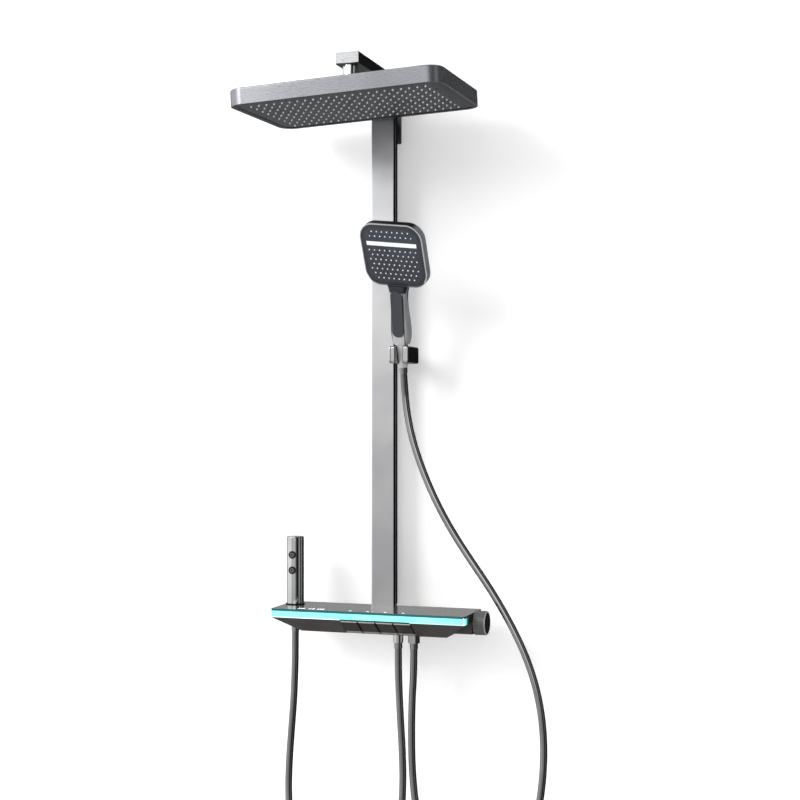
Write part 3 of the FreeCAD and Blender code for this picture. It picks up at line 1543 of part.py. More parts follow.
def nozzle(radius, tip, length):
    """One soft nozzle that points down from the origin."""
    rings = []
    for ring_radius, level in ((radius, 0), (tip, -length)):
        corners = [
            FreeCAD.Vector(
                ring_radius * math.cos(math.tau * side / NOZZLE_SIDES),
                ring_radius * math.sin(math.tau * side / NOZZLE_SIDES), level)
            for side in range(NOZZLE_SIDES)
        ]
        rings.append(Part.makePolygon(corners + corners[:1]))
    return Part.makeLoft(rings, True, True)


def build_head_mat():
    """The soft mat with the head's field of nozzles."""
    inset = "(head_wall + 2 * face_clearance + face_rim)"
    low = f"({HEAD_LOW} + mat_recess)"
    mat = slab("mat_slab", "XY_Plane", head_outline(inset), low, "mat_thick")
    one = nozzle(size("nozzle_radius"), size("nozzle_tip_radius"), size("nozzle_length"))
    level = value(low)
    places = lattice(
        value(f"head_width / 2 - {inset}"), value(f"head_depth / 2 - {inset}"),
        size("nozzle_pitch"), size("nozzle_margin"), value(f"head_corner - {inset}"))
    tips = [
        one.translated(FreeCAD.Vector(x, y + size("head_setback"), level))
        for x, y in places
    ]
    print("overhead nozzles", len(tips))
    field = shaped("mat_nozzles", Part.makeCompound(tips))
    whole = fuse("head_nozzle_mat", mat, field)
    whole.Refine = False
    whole.Placement = head_frame()
    return node(whole, "head_nozzle_mat")


# Hand shower and its holder

def holder_frame():
    """Where the holder's slanted bore lies."""
    side = FreeCAD.Rotation(Y_AXIS, size("handset_side"))
    lean = FreeCAD.Rotation(X_AXIS, size("handset_lean"))
    return FreeCAD.Placement(
        FreeCAD.Vector(
            size("holder_right"), -size("holder_setback"), size("holder_level")),
        side.multiply(lean))


def handset_frame():
    """Where the hand shower's own frame lies, turned in its holder."""
    turn = FreeCAD.Rotation(Z_AXIS, size("handset_turn"))
    return holder_frame().multiply(FreeCAD.Placement(FreeCAD.Vector(), turn))


def face_frame():
    """Where the hand shower's face lies in its own frame."""
    return FreeCAD.Placement(
        FreeCAD.Vector(0, -size("hand_head_forward"), size("hand_head_level")),
        FreeCAD.Rotation(X_AXIS, size("face_lean")))


def laid(thing, frame):
    """Carry a thing from where its sizes put it to the same place in a frame."""
    DOC.recompute()
    local = thing.Placement
    for axis in "xyz":
        thing.setExpression("Placement.Base." + axis, None)
    thing.Placement = frame.multiply(local)
    return thing


def hose_slot(label, low):
    """The room for the slot that lets the hose into the holder from the front."""
    return block(
        label, "holder_right - holder_slot / 2", "-holder_front - cut_overrun",
        f"{low} - cut_overrun", "holder_slot",
        "holder_front + cut_overrun - holder_setback", "holder_height + 2 * cut_overrun")


def build_holder():
    """The bracket on the column, the holder's block, its liner and their screws."""
    bracket_block = block(
        "bracket_block", "column_width / 2", "-holder_back",
        "holder_level - bracket_arm_height / 2", "bracket_arm_right - column_width / 2",
        "holder_back - bracket_arm_back", "bracket_arm_height")
    tongue = block(
        "bracket_tongue", "column_width / 2 - groove_depth",
        f"{COLUMN_MIDDLE} - groove_width / 2", "holder_level - bracket_arm_height / 2",
        "groove_depth", "groove_width", "bracket_arm_height")
    left = "(holder_right - holder_width / 2)"
    low = "(holder_level - holder_height / 2)"
    body = slab(
        "holder_body", "XY_Plane",
        (left, "(holder_right + holder_width / 2)", "(-holder_front)", "(-holder_back)",
         "holder_corner"),
        low, "holder_height")
    back = size("holder_back")
    round_edges(
        body, body.Tip, "holder_back_corner", "holder_back_edges",
        lambda middle, way: abs(way.x) > 0.999 and abs(middle.y + back) < 0.001)
    slot = hose_slot("holder_slot_room", low)
    bore = laid(
        rod("holder_bore_room", "holder_bore", "2 * holder_height", z="-holder_height"),
        holder_frame())
    screws = []
    bracket_holes = []
    block_holes = []
    for name, sign in (("upper", "+"), ("lower", "-")):
        at = ("holder_screw_right", "-bracket_arm_back - screw_head_height",
              f"holder_level {sign} holder_screw_spacing / 2")
        head = taper(
            f"holder_screw_head_{name}", "screw_radius", "screw_head_radius",
            "screw_head_height", *at, along="Y")
        length = "holder_back - bracket_arm_back + holder_screw_depth"
        tail = ("holder_screw_right", "-holder_back - holder_screw_depth", at[2])
        shank = rod(
            f"holder_screw_shank_{name}", "screw_radius", length, *tail, along="Y")
        screws.append(fuse(f"holder_screw_{name}", head, shank))
        bracket_holes.append(taper(
            f"bracket_sink_{name}", "screw_radius", "screw_head_radius",
            "screw_head_height", *at, along="Y"))
        bracket_holes.append(rod(
            f"bracket_hole_{name}_room", "screw_radius", length, *tail, along="Y"))
        block_holes.append(rod(
            f"block_hole_{name}_room", "screw_radius", "holder_screw_depth + cut_overrun",
            *tail, along="Y"))
    bracket = fuse("holder_bracket_solid", bracket_block, tongue)
    node(cut("holder_bracket", bracket, *bracket_holes), "holder_bracket")
    node(cut("holder_block", body, slot, bore, *block_holes), "holder_block")
    lining = laid(
        rod("liner_round", "holder_bore", "2 * holder_height", z="-holder_height"),
        holder_frame())
    reach = block(
        "liner_reach", left, "-holder_front", low, "holder_width",
        "holder_front - holder_back", "holder_height")
    half = "(cone_half + cone_high_radius)"
    slope = "((cone_high_radius - cone_low_radius) / (2 * cone_half))"
    middle = "((cone_high_radius + cone_low_radius) / 2 + body_clearance)"
    cone_room = laid(
        taper("liner_cone_room", f"{middle} - {half} * {slope}",
              f"{middle} + {half} * {slope}", f"2 * {half}", z=f"-{half}"),
        holder_frame())
    liner_slot = hose_slot("liner_slot_room", low)
    node(cut("holder_liner", common("liner_blank", lining, reach), cone_room, liner_slot),
         "holder_liner")
    return node(group("holder_screws", *screws), "holder_screws")


def grip_outline(body, name):
    """One cross-section of the grip, from the sizes that carry its name."""
    back = "grip_flare_back" if name == "flare" else "0"
    sketch = new_sketch(
        body, "XY_Plane", f"grip_{name}_outline",
        "cone_half" if name == "low" else f"grip_{name}_level")
    wide = f"grip_{name}_width"
    deep = f"grip_{name}_depth"
    draw_rounded(
        sketch, f"(-{wide} / 2)", f"({wide} / 2)", f"({back} - {deep} / 2)",
        f"({back} + {deep} / 2)", f"({deep} * grip_corner_share)")
    return sketch


def face_outline(inset):
    """The sides and corner of the hand shower's face, drawn in all round."""
    return (
        f"(-hand_head_width / 2 + {inset})", f"(hand_head_width / 2 - {inset})",
        f"(-hand_head_height / 2 + {inset})", f"(hand_head_height / 2 - {inset})",
        f"(hand_head_corner - {inset})",
    )


def build_handset():
    """The hand shower's shell, face, nozzles, white strip and grip panel."""
    grip = new_body("grip_body")
    loft(grip, [grip_outline(grip, name) for name in ("low", "mid", "high", "flare")],
         "grip_loft")
    head = slab(
        "hand_head", "XZ_Plane", face_outline("0"), "-hand_head_thick", "hand_head_thick")
    back = size("hand_head_thick")
    round_edges(
        head, head.Tip, "hand_head_edge", "hand_head_back_edge",
        lambda middle, way: abs(middle.y - back) < 0.001)
    laid(head, face_frame())
    whole = fuse("handset_solid", grip, head)
    recess = laid(
        slab("hand_face_recess", "XZ_Plane", face_outline("hand_face_margin"),
             "-hand_face_thick", "hand_face_thick + hand_head_thick"),
        face_frame())
    panel_shape = (
        "(-panel_width / 2)", "(panel_width / 2)", "panel_low", "panel_high", "panel_corner")
    panel_back = "(grip_mid_depth / 2 + panel_proud - panel_thick)"
    panel_recess = slab(
        "panel_recess", "XZ_Plane", panel_shape, panel_back, "panel_thick + cut_overrun")
    shell = cut("handset_shell", whole, recess, panel_recess)
    panel = slab("handset_grip_panel", "XZ_Plane", panel_shape, panel_back, "panel_thick")
    cone = taper(
        "cone_outside", "cone_low_radius", "cone_high_radius", "2 * cone_half",
        z="-cone_half")
    cone_way = rod(
        "cone_way", "cone_bore", "2 * (cone_half + cut_overrun)",
        z="-cone_half - cut_overrun")
    hose_cone = cut("handset_hose_cone", cone, cone_way)
    face = cut(
        "handset_face",
        slab("face_plate", "XZ_Plane", face_outline("hand_face_margin"),
             "-hand_face_thick", "hand_face_thick"),
        slab("face_mat_recess", "XZ_Plane",
             face_outline("(hand_face_margin + hand_mat_margin)"), "-hand_mat_thick",
             "hand_mat_thick + cut_overrun"),
        strip_block("face_strip_slot", "0"))
    strip = strip_block("handset_strip", "strip_proud")
    for thing, place_frame in (
            (shell, handset_frame()), (panel, handset_frame()), (hose_cone, handset_frame()),
            (face, handset_frame().multiply(face_frame()))):
        thing.Placement = place_frame
    laid(strip, handset_frame().multiply(face_frame()))
    node(shell, "handset_shell")
    node(panel, "handset_grip_panel")
    node(hose_cone, "handset_hose_cone")
    node(face, "handset_face")
    return node(strip, "handset_strip")


def strip_block(label, proud, gap="0"):
    """The bar of the white strip, or the room for it, in the face's frame."""
    return block(
        label, f"-strip_width / 2 - {gap}", f"-({proud})",
        f"strip_rise - strip_height / 2 - {gap}", f"strip_width + 2 * {gap}",
        f"hand_face_thick + {proud}", f"strip_height + 2 * {gap}")


def build_handset_mat():
    """The hand shower's soft mat with its nozzles above and below the strip."""
    inset = "(hand_face_margin + hand_mat_margin + strip_gap)"
    mat = slab(
        "hand_mat", "XZ_Plane", face_outline(inset), "-hand_mat_thick", "hand_mat_thick")
    slot = strip_block("hand_mat_slot", "cut_overrun", "strip_gap")
    one = nozzle(
        size("hand_nozzle_radius"), size("hand_nozzle_tip"), size("hand_nozzle_length"))
    one.rotate(FreeCAD.Vector(), X_AXIS, -90)
    places = lattice(
        value(f"hand_head_width / 2 - {inset}"), value(f"hand_head_height / 2 - {inset}"),
        size("hand_nozzle_pitch"), value("2 * hand_nozzle_radius"),
        value(f"hand_head_corner - {inset}"))
    clear = value("strip_height / 2 + strip_gap + 2 * hand_nozzle_radius")
    tips = [
        one.translated(FreeCAD.Vector(x, 0, z))
        for x, z in places if abs(z - size("strip_rise")) > clear
    ]
    print("hand shower nozzles", len(tips))
    field = shaped("hand_mat_tips", Part.makeCompound(tips))
    whole = fuse("handset_nozzles", cut("hand_mat_plate", mat, slot), field)
    whole.Refine = False
    whole.Placement = handset_frame().multiply(face_frame())
    return node(whole, "handset_nozzles")


# Spray gun

def build_sprayer():
    """The spray gun that stands in its socket on the shelf, with two buttons."""
    at = ("-sprayer_left", "-sprayer_setback")
    low = "(plate_top + socket_ring_height + body_clearance)"
    joint = "(plate_top + sprayer_height - sprayer_cap_height)"
    tube = rod("gun_tube", "sprayer_radius", f"{joint} - {low}", *at, low)
    tools = [rod(
        "gun_room", "sprayer_radius - sprayer_wall",
        f"{joint} - {low} - sprayer_floor + cut_overrun", *at, f"{low} + sprayer_floor")]
    for name in ("upper", "lower"):
        level = f"plate_top + button_{name}"
        tools.append(rod(
            f"gun_hole_{name}", "button_radius + body_clearance",
            "sprayer_radius + cut_overrun", at[0],
            f"{at[1]} - sprayer_radius - cut_overrun", level, "Y"))
    tools.append(rod("gun_way", "cone_bore", "sprayer_floor + 2 * cut_overrun", *at,
                     f"{low} - cut_overrun"))
    node(cut("sprayer_body", tube, *tools), "sprayer_body")
    cap = new_body("sprayer_cap")
    lip_sketch = new_sketch(cap, "XY_Plane", "cap_lip_outline",
                            f"{joint} - sprayer_cap_lip")
    draw_circle(lip_sketch, *at, "sprayer_radius - sprayer_wall")
    pad(cap, lip_sketch, "sprayer_cap_lip + sprayer_cap_gap", "cap_lip")
    disc_sketch = new_sketch(cap, "XY_Plane", "cap_disc_outline",
                             f"{joint} + sprayer_cap_gap")
    draw_circle(disc_sketch, *at, "sprayer_radius")
    disc = pad(cap, disc_sketch, "sprayer_cap_height - sprayer_cap_gap", "cap_disc")
    top = value("plate_top + sprayer_height")
    break_edges(
        cap, disc, "sprayer_edge", "cap_bevel",
        lambda middle, way: abs(middle.z - top) < 0.001)
    node(cap, "sprayer_cap")
    node(rod("sprayer_valve", "core_radius",
             f"{joint} - sprayer_cap_lip - {low} - sprayer_floor", *at,
             f"{low} + sprayer_floor"), "sprayer_valve")
    cone = taper(
        "gun_cone", "spray_cone_low", "spray_cone_high", "spray_cone_length", *at,
        f"{low} - spray_cone_length")
    way = rod("gun_cone_way", "cone_bore", "spray_cone_length + 2 * cut_overrun", *at,
              f"{low} - spray_cone_length - cut_overrun")
    node(cut("sprayer_hose_cone", cone, way), "sprayer_hose_cone")
    for name in ("upper", "lower"):
        button = new_body(f"sprayer_button_{name}")
        sketch = new_sketch(
            button, "XZ_Plane", f"button_{name}_outline",
            "sprayer_setback + sprayer_radius + button_proud - button_length")
        draw_circle(sketch, "-sprayer_left", f"plate_top + button_{name}", "button_radius")
        disc = pad(button, sketch, "button_length", f"button_{name}_pad")
        front = value("-(sprayer_setback + sprayer_radius + button_proud)")
        break_edges(
            button, disc, "button_edge", f"button_{name}_bevel",
            lambda middle, way: abs(middle.y - front) < 0.001)
        node(button, f"sprayer_button_{name}")
    ring = rod("socket_ring", "socket_ring_radius", "socket_ring_height", *at, "plate_top")
    sleeve = rod("socket_sleeve", "socket_radius", "plate_top + socket_drop", *at,
                 "-socket_drop")
    slope = "((spray_cone_high - spray_cone_low) / spray_cone_length)"
    room = taper(
        "socket_room", f"spray_cone_low + body_clearance - cut_overrun * {slope}",
        f"spray_cone_high + body_clearance + cut_overrun * {slope}",
        "spray_cone_length + 2 * cut_overrun", *at,
        f"{low} - spray_cone_length - cut_overrun")
    return node(
        cut("sprayer_socket", fuse("socket_solid", ring, sleeve), room), "sprayer_socket")


# Hoses

def hose_path(name, route):
    """Straight runs joined by tangent arcs as large as their runs allow."""
    points = [FreeCAD.Vector(*point) for point in route]
    edges = []
    radii = []
    last = points[0]
    for before, corner, after in zip(points, points[1:], points[2:]):
        way_in = (corner - before).normalize()
        way_out = (after - corner).normalize()
        half_turn = math.acos(min(1, way_in * way_out)) / 2
        trim = HOSE_TRIM_SHARE * min((corner - before).Length, (after - corner).Length)
        radius = trim / math.tan(half_turn)
        radii.append(radius)
        start = corner - way_in * trim
        end = corner + way_out * trim
        inwards = (way_out - way_in).normalize()
        middle = corner + inwards * (radius / math.cos(half_turn) - radius)
        edges.append(Part.LineSegment(last, start).toShape())
        edges.append(Part.Arc(start, middle, end).toShape())
        last = end
    edges.append(Part.LineSegment(last, points[-1]).toShape())
    print(name, "radii", [round(radius) for radius in radii])
    return Part.Wire(edges)


def build_hose(name, route):
    """One hose along its route, compared with its section times its length."""
    path = hose_path(name, route)
    first = FreeCAD.Vector(*route[0])
    tube = swept(path, first, FreeCAD.Vector(*route[1]) - first, size("hose_radius"))
    expected = math.pi * size("hose_radius") ** 2 * path.Length
    print(name, "length", round(path.Length), "volume share", round(tube.Volume / expected, 4))
    return node(shaped(name, tube), name)


def build_hose_nuts():
    """The union nuts that hold the hoses to the outlets."""
    low = f"({BAR_LOW} - outlet_length - hose_nut_floor)"
    for name, right in (("handset", "hand_outlet_right"), ("sprayer", "spray_outlet_right")):
        at = (right, "-axis_setback - outlet_front", low)
        if name == "handset":
            outside = hexagon(
                f"{name}_nut_outside", "2 * hand_nut_radius * cos(30)", "hose_nut_length",
                *at)
        else:
            outside = rod(f"{name}_nut_outside", "spray_nut_radius", "hose_nut_length", *at)
        room = rod(
            f"{name}_nut_room", "outlet_radius", "hose_nut_length", at[0], at[1],
            f"{low} + hose_nut_floor")
        way = rod(
            f"{name}_nut_way", "ball_waterway", "hose_nut_floor + 2 * cut_overrun", at[0],
            at[1], f"{low} - cut_overrun")
        node(cut(f"{name}_hose_nut", outside, room, way), f"{name}_hose_nut")


def check_all():
    """Stop if any object failed or any sub-part is not a sound solid."""
    for thing in DOC.Objects:
        if "Invalid" in thing.State or "Error" in thing.State:
            raise RuntimeError(f"{thing.Label} failed: {thing.State}")
    for thing in NODES:
        shape = thing.Shape
        if shape.isNull() or not shape.isValid() or not shape.Solids:
            raise RuntimeError(f"{thing.Label} is not a sound solid")


def write_all():
    """One file for each sub-part, named by its label."""
    os.makedirs("parts", exist_ok=True)
    for thing in NODES:
        thing.Shape.exportStep(f"parts/{thing.Label}.step")
    print("sub-parts", len(NODES))


def main():
    """Build, check and write the whole shower."""
    fill_sheet()
    steps = (
        build_wall_bracket, build_column, build_column_foot, build_riser_pipe,
        build_arm_joiner, build_arm, build_arm_cap, build_arm_outlet, build_inlets,
        build_shelf_plate, build_light_guide, build_led_board, build_display,
        build_mixer_cover, build_cover_screws, build_valve_body, build_outlets,
        build_cartridge, build_spindle, build_knob, build_knob_cap, build_key_valves,
        build_generator, build_ball_stem, build_ball_nut, build_ball_seal,
        build_head_cover, build_head_face, build_head_screws, build_head_mat,
        build_holder, build_handset, build_handset_mat, build_sprayer, build_hose_nuts,
    )
    for step in steps:
        step()
    for number in range(KEY_COUNT):
        build_key(number)
    build_hose("handset_hose", HAND_HOSE_ROUTE)
    build_hose("sprayer_hose", SPRAY_HOSE_ROUTE)
    DOC.recompute()
    check_all()
    write_all()


main()
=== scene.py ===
"""The looks of a wall-hung thermostatic mixer shower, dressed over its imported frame."""

import logging
import math
from collections.abc import Callable, Iterator, Sequence
from contextlib import contextmanager
from dataclasses import dataclass
from enum import Enum

import bmesh
import bpy
from mathutils import Matrix, Vector


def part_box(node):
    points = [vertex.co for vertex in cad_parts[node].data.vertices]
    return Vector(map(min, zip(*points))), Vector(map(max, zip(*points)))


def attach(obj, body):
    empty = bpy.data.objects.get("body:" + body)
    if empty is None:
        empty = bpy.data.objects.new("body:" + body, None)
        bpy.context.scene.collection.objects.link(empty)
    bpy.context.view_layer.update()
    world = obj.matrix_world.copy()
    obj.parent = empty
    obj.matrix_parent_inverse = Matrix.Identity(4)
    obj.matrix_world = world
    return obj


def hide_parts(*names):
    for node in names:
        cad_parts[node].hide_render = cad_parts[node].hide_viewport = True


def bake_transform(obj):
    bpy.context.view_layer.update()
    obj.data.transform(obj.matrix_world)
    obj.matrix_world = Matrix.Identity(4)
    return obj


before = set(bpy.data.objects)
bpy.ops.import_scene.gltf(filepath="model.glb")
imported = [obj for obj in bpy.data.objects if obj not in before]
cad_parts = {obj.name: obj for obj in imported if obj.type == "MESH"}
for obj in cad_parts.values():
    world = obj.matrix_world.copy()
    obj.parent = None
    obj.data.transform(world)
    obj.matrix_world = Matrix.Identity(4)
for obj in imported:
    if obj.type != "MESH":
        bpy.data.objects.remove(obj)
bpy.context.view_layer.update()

MM = 0.001
ROUND_STEPS = 48
MERGE_DISTANCE = 0.01 * MM
SMOOTH_ANGLE = math.radians(32)
TONE_RANGE = (0.3, 0.7)
GRAIN_RANGE = (0.25, 0.75)
SPECK_RANGE = (0.5, 0.66)
GLOW_BODY = "0E2A2C"
GLOW_SPECULAR = 0.2
PRINT_THICK = 0.05 * MM
PRINT_WEIGHT = 0.4 * MM
LETTER_STEPS = 4
NOZZLE_FADE = 0.1 * MM
REPORT = logging.getLogger("shower")

Colour = tuple[float, float, float, float]
Point = tuple[float, float, float]
Profile = Sequence[tuple[float, float]]


def paint(code: str) -> Colour:
    """Turn a painter's hex code into the linear colour that shaders take.

    Args:
        code: Six hexadecimal digits, red, green and blue.

    Returns:
        The linear colour with full opacity.
    """
    low_end, low_slope = 0.04045, 12.92
    offset, scale, power = 0.055, 1.055, 2.4
    shares = [int(code[start:start + 2], 16) / 255 for start in (0, 2, 4)]
    linear = [
        share / low_slope if share <= low_end else ((share + offset) / scale) ** power
        for share in shares
    ]
    return (*linear, 1.0)


def low(node: str) -> Vector:
    """Return a frame node's lowest corner."""
    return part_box(node)[0]


def high(node: str) -> Vector:
    """Return a frame node's highest corner."""
    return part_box(node)[1]


def middle(node: str) -> Vector:
    """Return the middle of a frame node's box."""
    return (low(node) + high(node)) / 2


class Axis(Enum):
    """The three directions of the shared frame, by their separate outputs."""

    ACROSS = "X"
    DEEP = "Y"
    UP = "Z"


class Graph:
    """The node tree of one material or world, with short calls that add and join nodes."""

    places: bpy.types.NodeSocket

    def __init__(self, owner: bpy.types.ID) -> None:
        """Open an owner's node tree.

        Args:
            owner: A material or a world.
        """
        owner.use_nodes = True
        self.tree = owner.node_tree

    def add(self, kind: str) -> bpy.types.Node:
        """Add a node of a kind to the tree."""
        return self.tree.nodes.new(kind)

    def join(self, source: bpy.types.NodeSocket, target: bpy.types.NodeSocket) -> None:
        """Link an output to an input."""
        self.tree.links.new(source, target)

    def feed(self, target: bpy.types.NodeSocket, source: object) -> None:
        """Link a socket to an input, or set the input where the source is a plain value.

        Args:
            target: The input to fill.
            source: An output socket, a number or a colour.
        """
        if isinstance(source, bpy.types.NodeSocket):
            self.join(source, target)
        else:
            target.default_value = source

    def stretched(self, stretch: Point) -> bpy.types.NodeSocket:
        """Return the places scaled along each axis."""
        mapping = self.add("ShaderNodeMapping")
        mapping.inputs["Scale"].default_value = stretch
        self.join(self.places, mapping.inputs["Vector"])
        return mapping.outputs["Vector"]

    def seen_from(self, where: Matrix) -> bpy.types.NodeSocket:
        """Return the places as a frame's own coordinates."""
        back = where.inverted()
        mapping = self.add("ShaderNodeMapping")
        mapping.inputs["Location"].default_value = back.to_translation()
        mapping.inputs["Rotation"].default_value = back.to_euler()
        self.join(self.places, mapping.inputs["Vector"])
        return mapping.outputs["Vector"]

    def noise(
        self, scale: float, detail: float = 3, stretch: Point = (1, 1, 1)
    ) -> bpy.types.NodeSocket:
        """Add noise in the object's own coordinates.

        Args:
            scale: How many cells lie along a metre.
            detail: How many finer layers are added.
            stretch: The scale along each axis, for brushed grain.

        Returns:
            The noise's value, from 0 to 1.
        """
        texture = self.add("ShaderNodeTexNoise")
        texture.inputs["Scale"].default_value = scale
        texture.inputs["Detail"].default_value = detail
        self.join(self.stretched(stretch), texture.inputs["Vector"])
        return texture.outputs["Fac"]

    def spread(
        self,
        source: bpy.types.NodeSocket,
        start: float,
        end: float,
        low_value: float = 0.0,
        high_value: float = 1.0,
    ) -> bpy.types.NodeSocket:
        """Carry a value smoothly from one range to another.

        Args:
            source: The value.
            start: Where the range starts.
            end: Where the range ends.
            low_value: What the start becomes.
            high_value: What the end becomes.

        Returns:
            The value in its new range.
        """
        node = self.add("ShaderNodeMapRange")
        node.interpolation_type = "SMOOTHSTEP"
        self.join(source, node.inputs["Value"])
        node.inputs["From Min"].default_value = start
        node.inputs["From Max"].default_value = end
        node.inputs["To Min"].default_value = low_value
        node.inputs["To Max"].default_value = high_value
        return node.outputs["Result"]

    def mix(self, share: object, first: object, second: object) -> bpy.types.NodeSocket:
        """Mix two colours.

        Args:
            share: How much of the second colour shows.
            first: A colour or a socket.
            second: A colour or a socket.

        Returns:
            The mixed colour.
        """
        node = self.add("ShaderNodeMix")
        node.data_type = "RGBA"
        self.feed(node.inputs["Factor"], share)
        colours = [socket for socket in node.inputs if socket.type == "RGBA"]
        self.feed(colours[0], first)
        self.feed(colours[1], second)
        return next(socket for socket in node.outputs if socket.type == "RGBA")

    def along(self, axis: Axis, places: object = None) -> bpy.types.NodeSocket:
        """Return the place along an axis, of the object's or of turned coordinates."""
        node = self.add("ShaderNodeSeparateXYZ")
        self.join(places or self.places, node.inputs["Vector"])
        return node.outputs[axis.value]

    def reckon(self, way: str, first: object, second: object = 0.0) -> bpy.types.NodeSocket:
        """Combine two values by a math node.

        Args:
            way: The math node's operation.
            first: A number or a socket.
            second: A number or a socket.

        Returns:
            The result.
        """
        node = self.add("ShaderNodeMath")
        node.operation = way
        self.feed(node.inputs[0], first)
        self.feed(node.inputs[1], second)
        return node.outputs["Value"]


class Paint(Graph):
    """The node tree of one material, with its shader and its object coordinates."""

    def __init__(self, name: str) -> None:
        """Start a material.

        Args:
            name: The material's name.
        """
        self.material = bpy.data.materials.new(name)
        super().__init__(self.material)
        self.shader = self.tree.nodes["Principled BSDF"]
        self.places = self.add("ShaderNodeTexCoord").outputs["Object"]

    def raise_bumps(self, height: bpy.types.NodeSocket, strength: float, deep: float) -> None:
        """Let a height bend the surface's normal.

        Args:
            height: The height's value.
            strength: How strongly it shows, from 0 to 1.
            deep: How deep the full height is, in metres.
        """
        node = self.add("ShaderNodeBump")
        node.inputs["Strength"].default_value = strength
        node.inputs["Distance"].default_value = deep
        self.join(height, node.inputs["Height"])
        self.join(node.outputs["Normal"], self.shader.inputs["Normal"])

    def setting(self, **values: object) -> None:
        """Set the shader's own sockets, named with underscores for spaces."""
        for name, value in values.items():
            self.feed(self.shader.inputs[name.replace("_", " ")], value)


class Grain(Enum):
    """Which way a surface is brushed, as the stretch of its grain."""

    NONE = (1.0, 1.0, 1.0)
    ACROSS = (0.03, 1.0, 1.0)
    UPRIGHT = (1.0, 1.0, 0.03)


@dataclass(frozen=True)
class Limit:
    """A level along an axis, past which a band shows in full."""

    axis: Axis
    start: float
    full: float


def above(axis: Axis, level: float, soft: float = 0.3 * MM) -> Limit:
    """Return the limit that a band shows above."""
    return Limit(axis, level - soft / 2, level + soft / 2)


def below(axis: Axis, level: float, soft: float = 0.3 * MM) -> Limit:
    """Return the limit that a band shows below."""
    return Limit(axis, level + soft / 2, level - soft / 2)


@dataclass(frozen=True)
class Band:
    """A part of a surface, between limits in a frame, that has a tone of its own; bands carry
    real colours and also painted highlights and shade.
    """

    tone: str
    limits: tuple[Limit, ...]
    where: Matrix = Matrix.Identity(4)


def stripe(
    tone: str, axis: Axis, first: float, last: float, *limits: Limit, soft: float = 0.3 * MM
) -> Band:
    """Return a band between two levels along an axis.

    Args:
        tone: The stripe's colour.
        axis: The axis that it lies across.
        first: Its lower level.
        last: Its higher level.
        limits: Further limits.
        soft: How wide each edge fades.

    Returns:
        The band.
    """
    return Band(tone, (above(axis, first, soft), below(axis, last, soft), *limits))


@dataclass(frozen=True)
class Satin:
    """A painted, plated or moulded surface with fine grain and a slow change of tone."""

    name: str
    light: str
    dark: str
    metallic: float = 1.0
    roughness: float = 0.3
    roughness_spread: float = 0.06
    tone_scale: float = 9.0
    grain: Grain = Grain.NONE
    grain_scale: float = 2600.0
    grain_strength: float = 0.08
    grain_deep: float = 0.02 * MM
    coat: float = 0.0
    coat_roughness: float = 0.1
    glow: float = 0.0
    bands: tuple[Band, ...] = ()

    @property
    def label(self) -> str:
        """The material's name, apart from the frame's own materials."""
        return "look_" + self.name

    def tone(self, graph: Paint) -> bpy.types.NodeSocket:
        """Return the surface's colour before its bands."""
        share = graph.spread(graph.noise(self.tone_scale, 2), *TONE_RANGE)
        return graph.mix(share, paint(self.dark), paint(self.light))

    def banded(self, graph: Paint) -> bpy.types.NodeSocket:
        """Return the surface's colour with its bands laid over it."""
        colour = self.tone(graph)
        for band in self.bands:
            places = graph.seen_from(band.where)
            share = 1.0
            for limit in band.limits:
                level = graph.along(limit.axis, places)
                part = graph.spread(level, limit.start, limit.full)
                share = graph.reckon("MULTIPLY", part, share)
            colour = graph.mix(share, colour, paint(band.tone))
        return colour

    def graph(self) -> Paint:
        """Build the node tree that every satin surface starts from."""
        graph = Paint(self.label)
        fine = graph.noise(self.grain_scale, 2, self.grain.value)
        least = self.roughness - self.roughness_spread
        most = self.roughness + self.roughness_spread
        colour = self.banded(graph)
        graph.setting(
            Base_Color=colour, Metallic=self.metallic,
            Roughness=graph.spread(fine, *GRAIN_RANGE, least, most))
        if self.glow:
            graph.setting(
                Base_Color=paint(GLOW_BODY), Emission_Color=colour, Emission_Strength=self.glow,
                Specular_IOR_Level=GLOW_SPECULAR)
        if self.coat:
            graph.setting(Coat_Weight=self.coat, Coat_Roughness=self.coat_roughness)
        graph.raise_bumps(fine, self.grain_strength, self.grain_deep)
        return graph

    def material(self) -> bpy.types.Material:
        """Return the finish's material, made once."""
        return bpy.data.materials.get(self.label) or self.graph().material


@dataclass(frozen=True)
class Speckled(Satin):
    """A cast metallic surface with fine pale specks."""

    speck: str = "B9BBC0"
    speck_scale: float = 900.0

    def tone(self, graph: Paint) -> bpy.types.NodeSocket:
        """Return the satin colour with its specks."""
        share = graph.spread(graph.noise(self.speck_scale, 3), *SPECK_RANGE)
        return graph.mix(share, super().tone(graph), paint(self.speck))


@dataclass(frozen=True)
class LightStrip(Satin):
    """A lit acrylic strip whose tone changes towards its right end, with pale patches."""

    uneven: str = "9FF0EA"
    patch_scale: float = 24.0
    patch_stretch: Point = (1.0, 0.1, 0.1)
    patch_low: float = 0.35
    patch_high: float = 0.75
    patch_share: float = 0.3

    def tone(self, graph: Paint) -> bpy.types.NodeSocket:
        """Return the glow's colour from the left end to the right one."""
        along = graph.spread(
            graph.along(Axis.ACROSS), low("light_guide").x, high("light_guide").x)
        glow = graph.mix(along, paint(self.dark), paint(self.light))
        patches = graph.noise(self.patch_scale, 2, self.patch_stretch)
        share = graph.spread(patches, self.patch_low, self.patch_high, 0.0, self.patch_share)
        return graph.mix(share, glow, paint(self.uneven))


def frame_at(place: Point, *turns: tuple[float, str]) -> Matrix:
    """Return the frame at a place after turns in degrees about its own axes."""
    where = Matrix.Translation(place)
    for degrees, axis in turns:
        where = where @ Matrix.Rotation(math.radians(degrees), 4, axis)
    return where


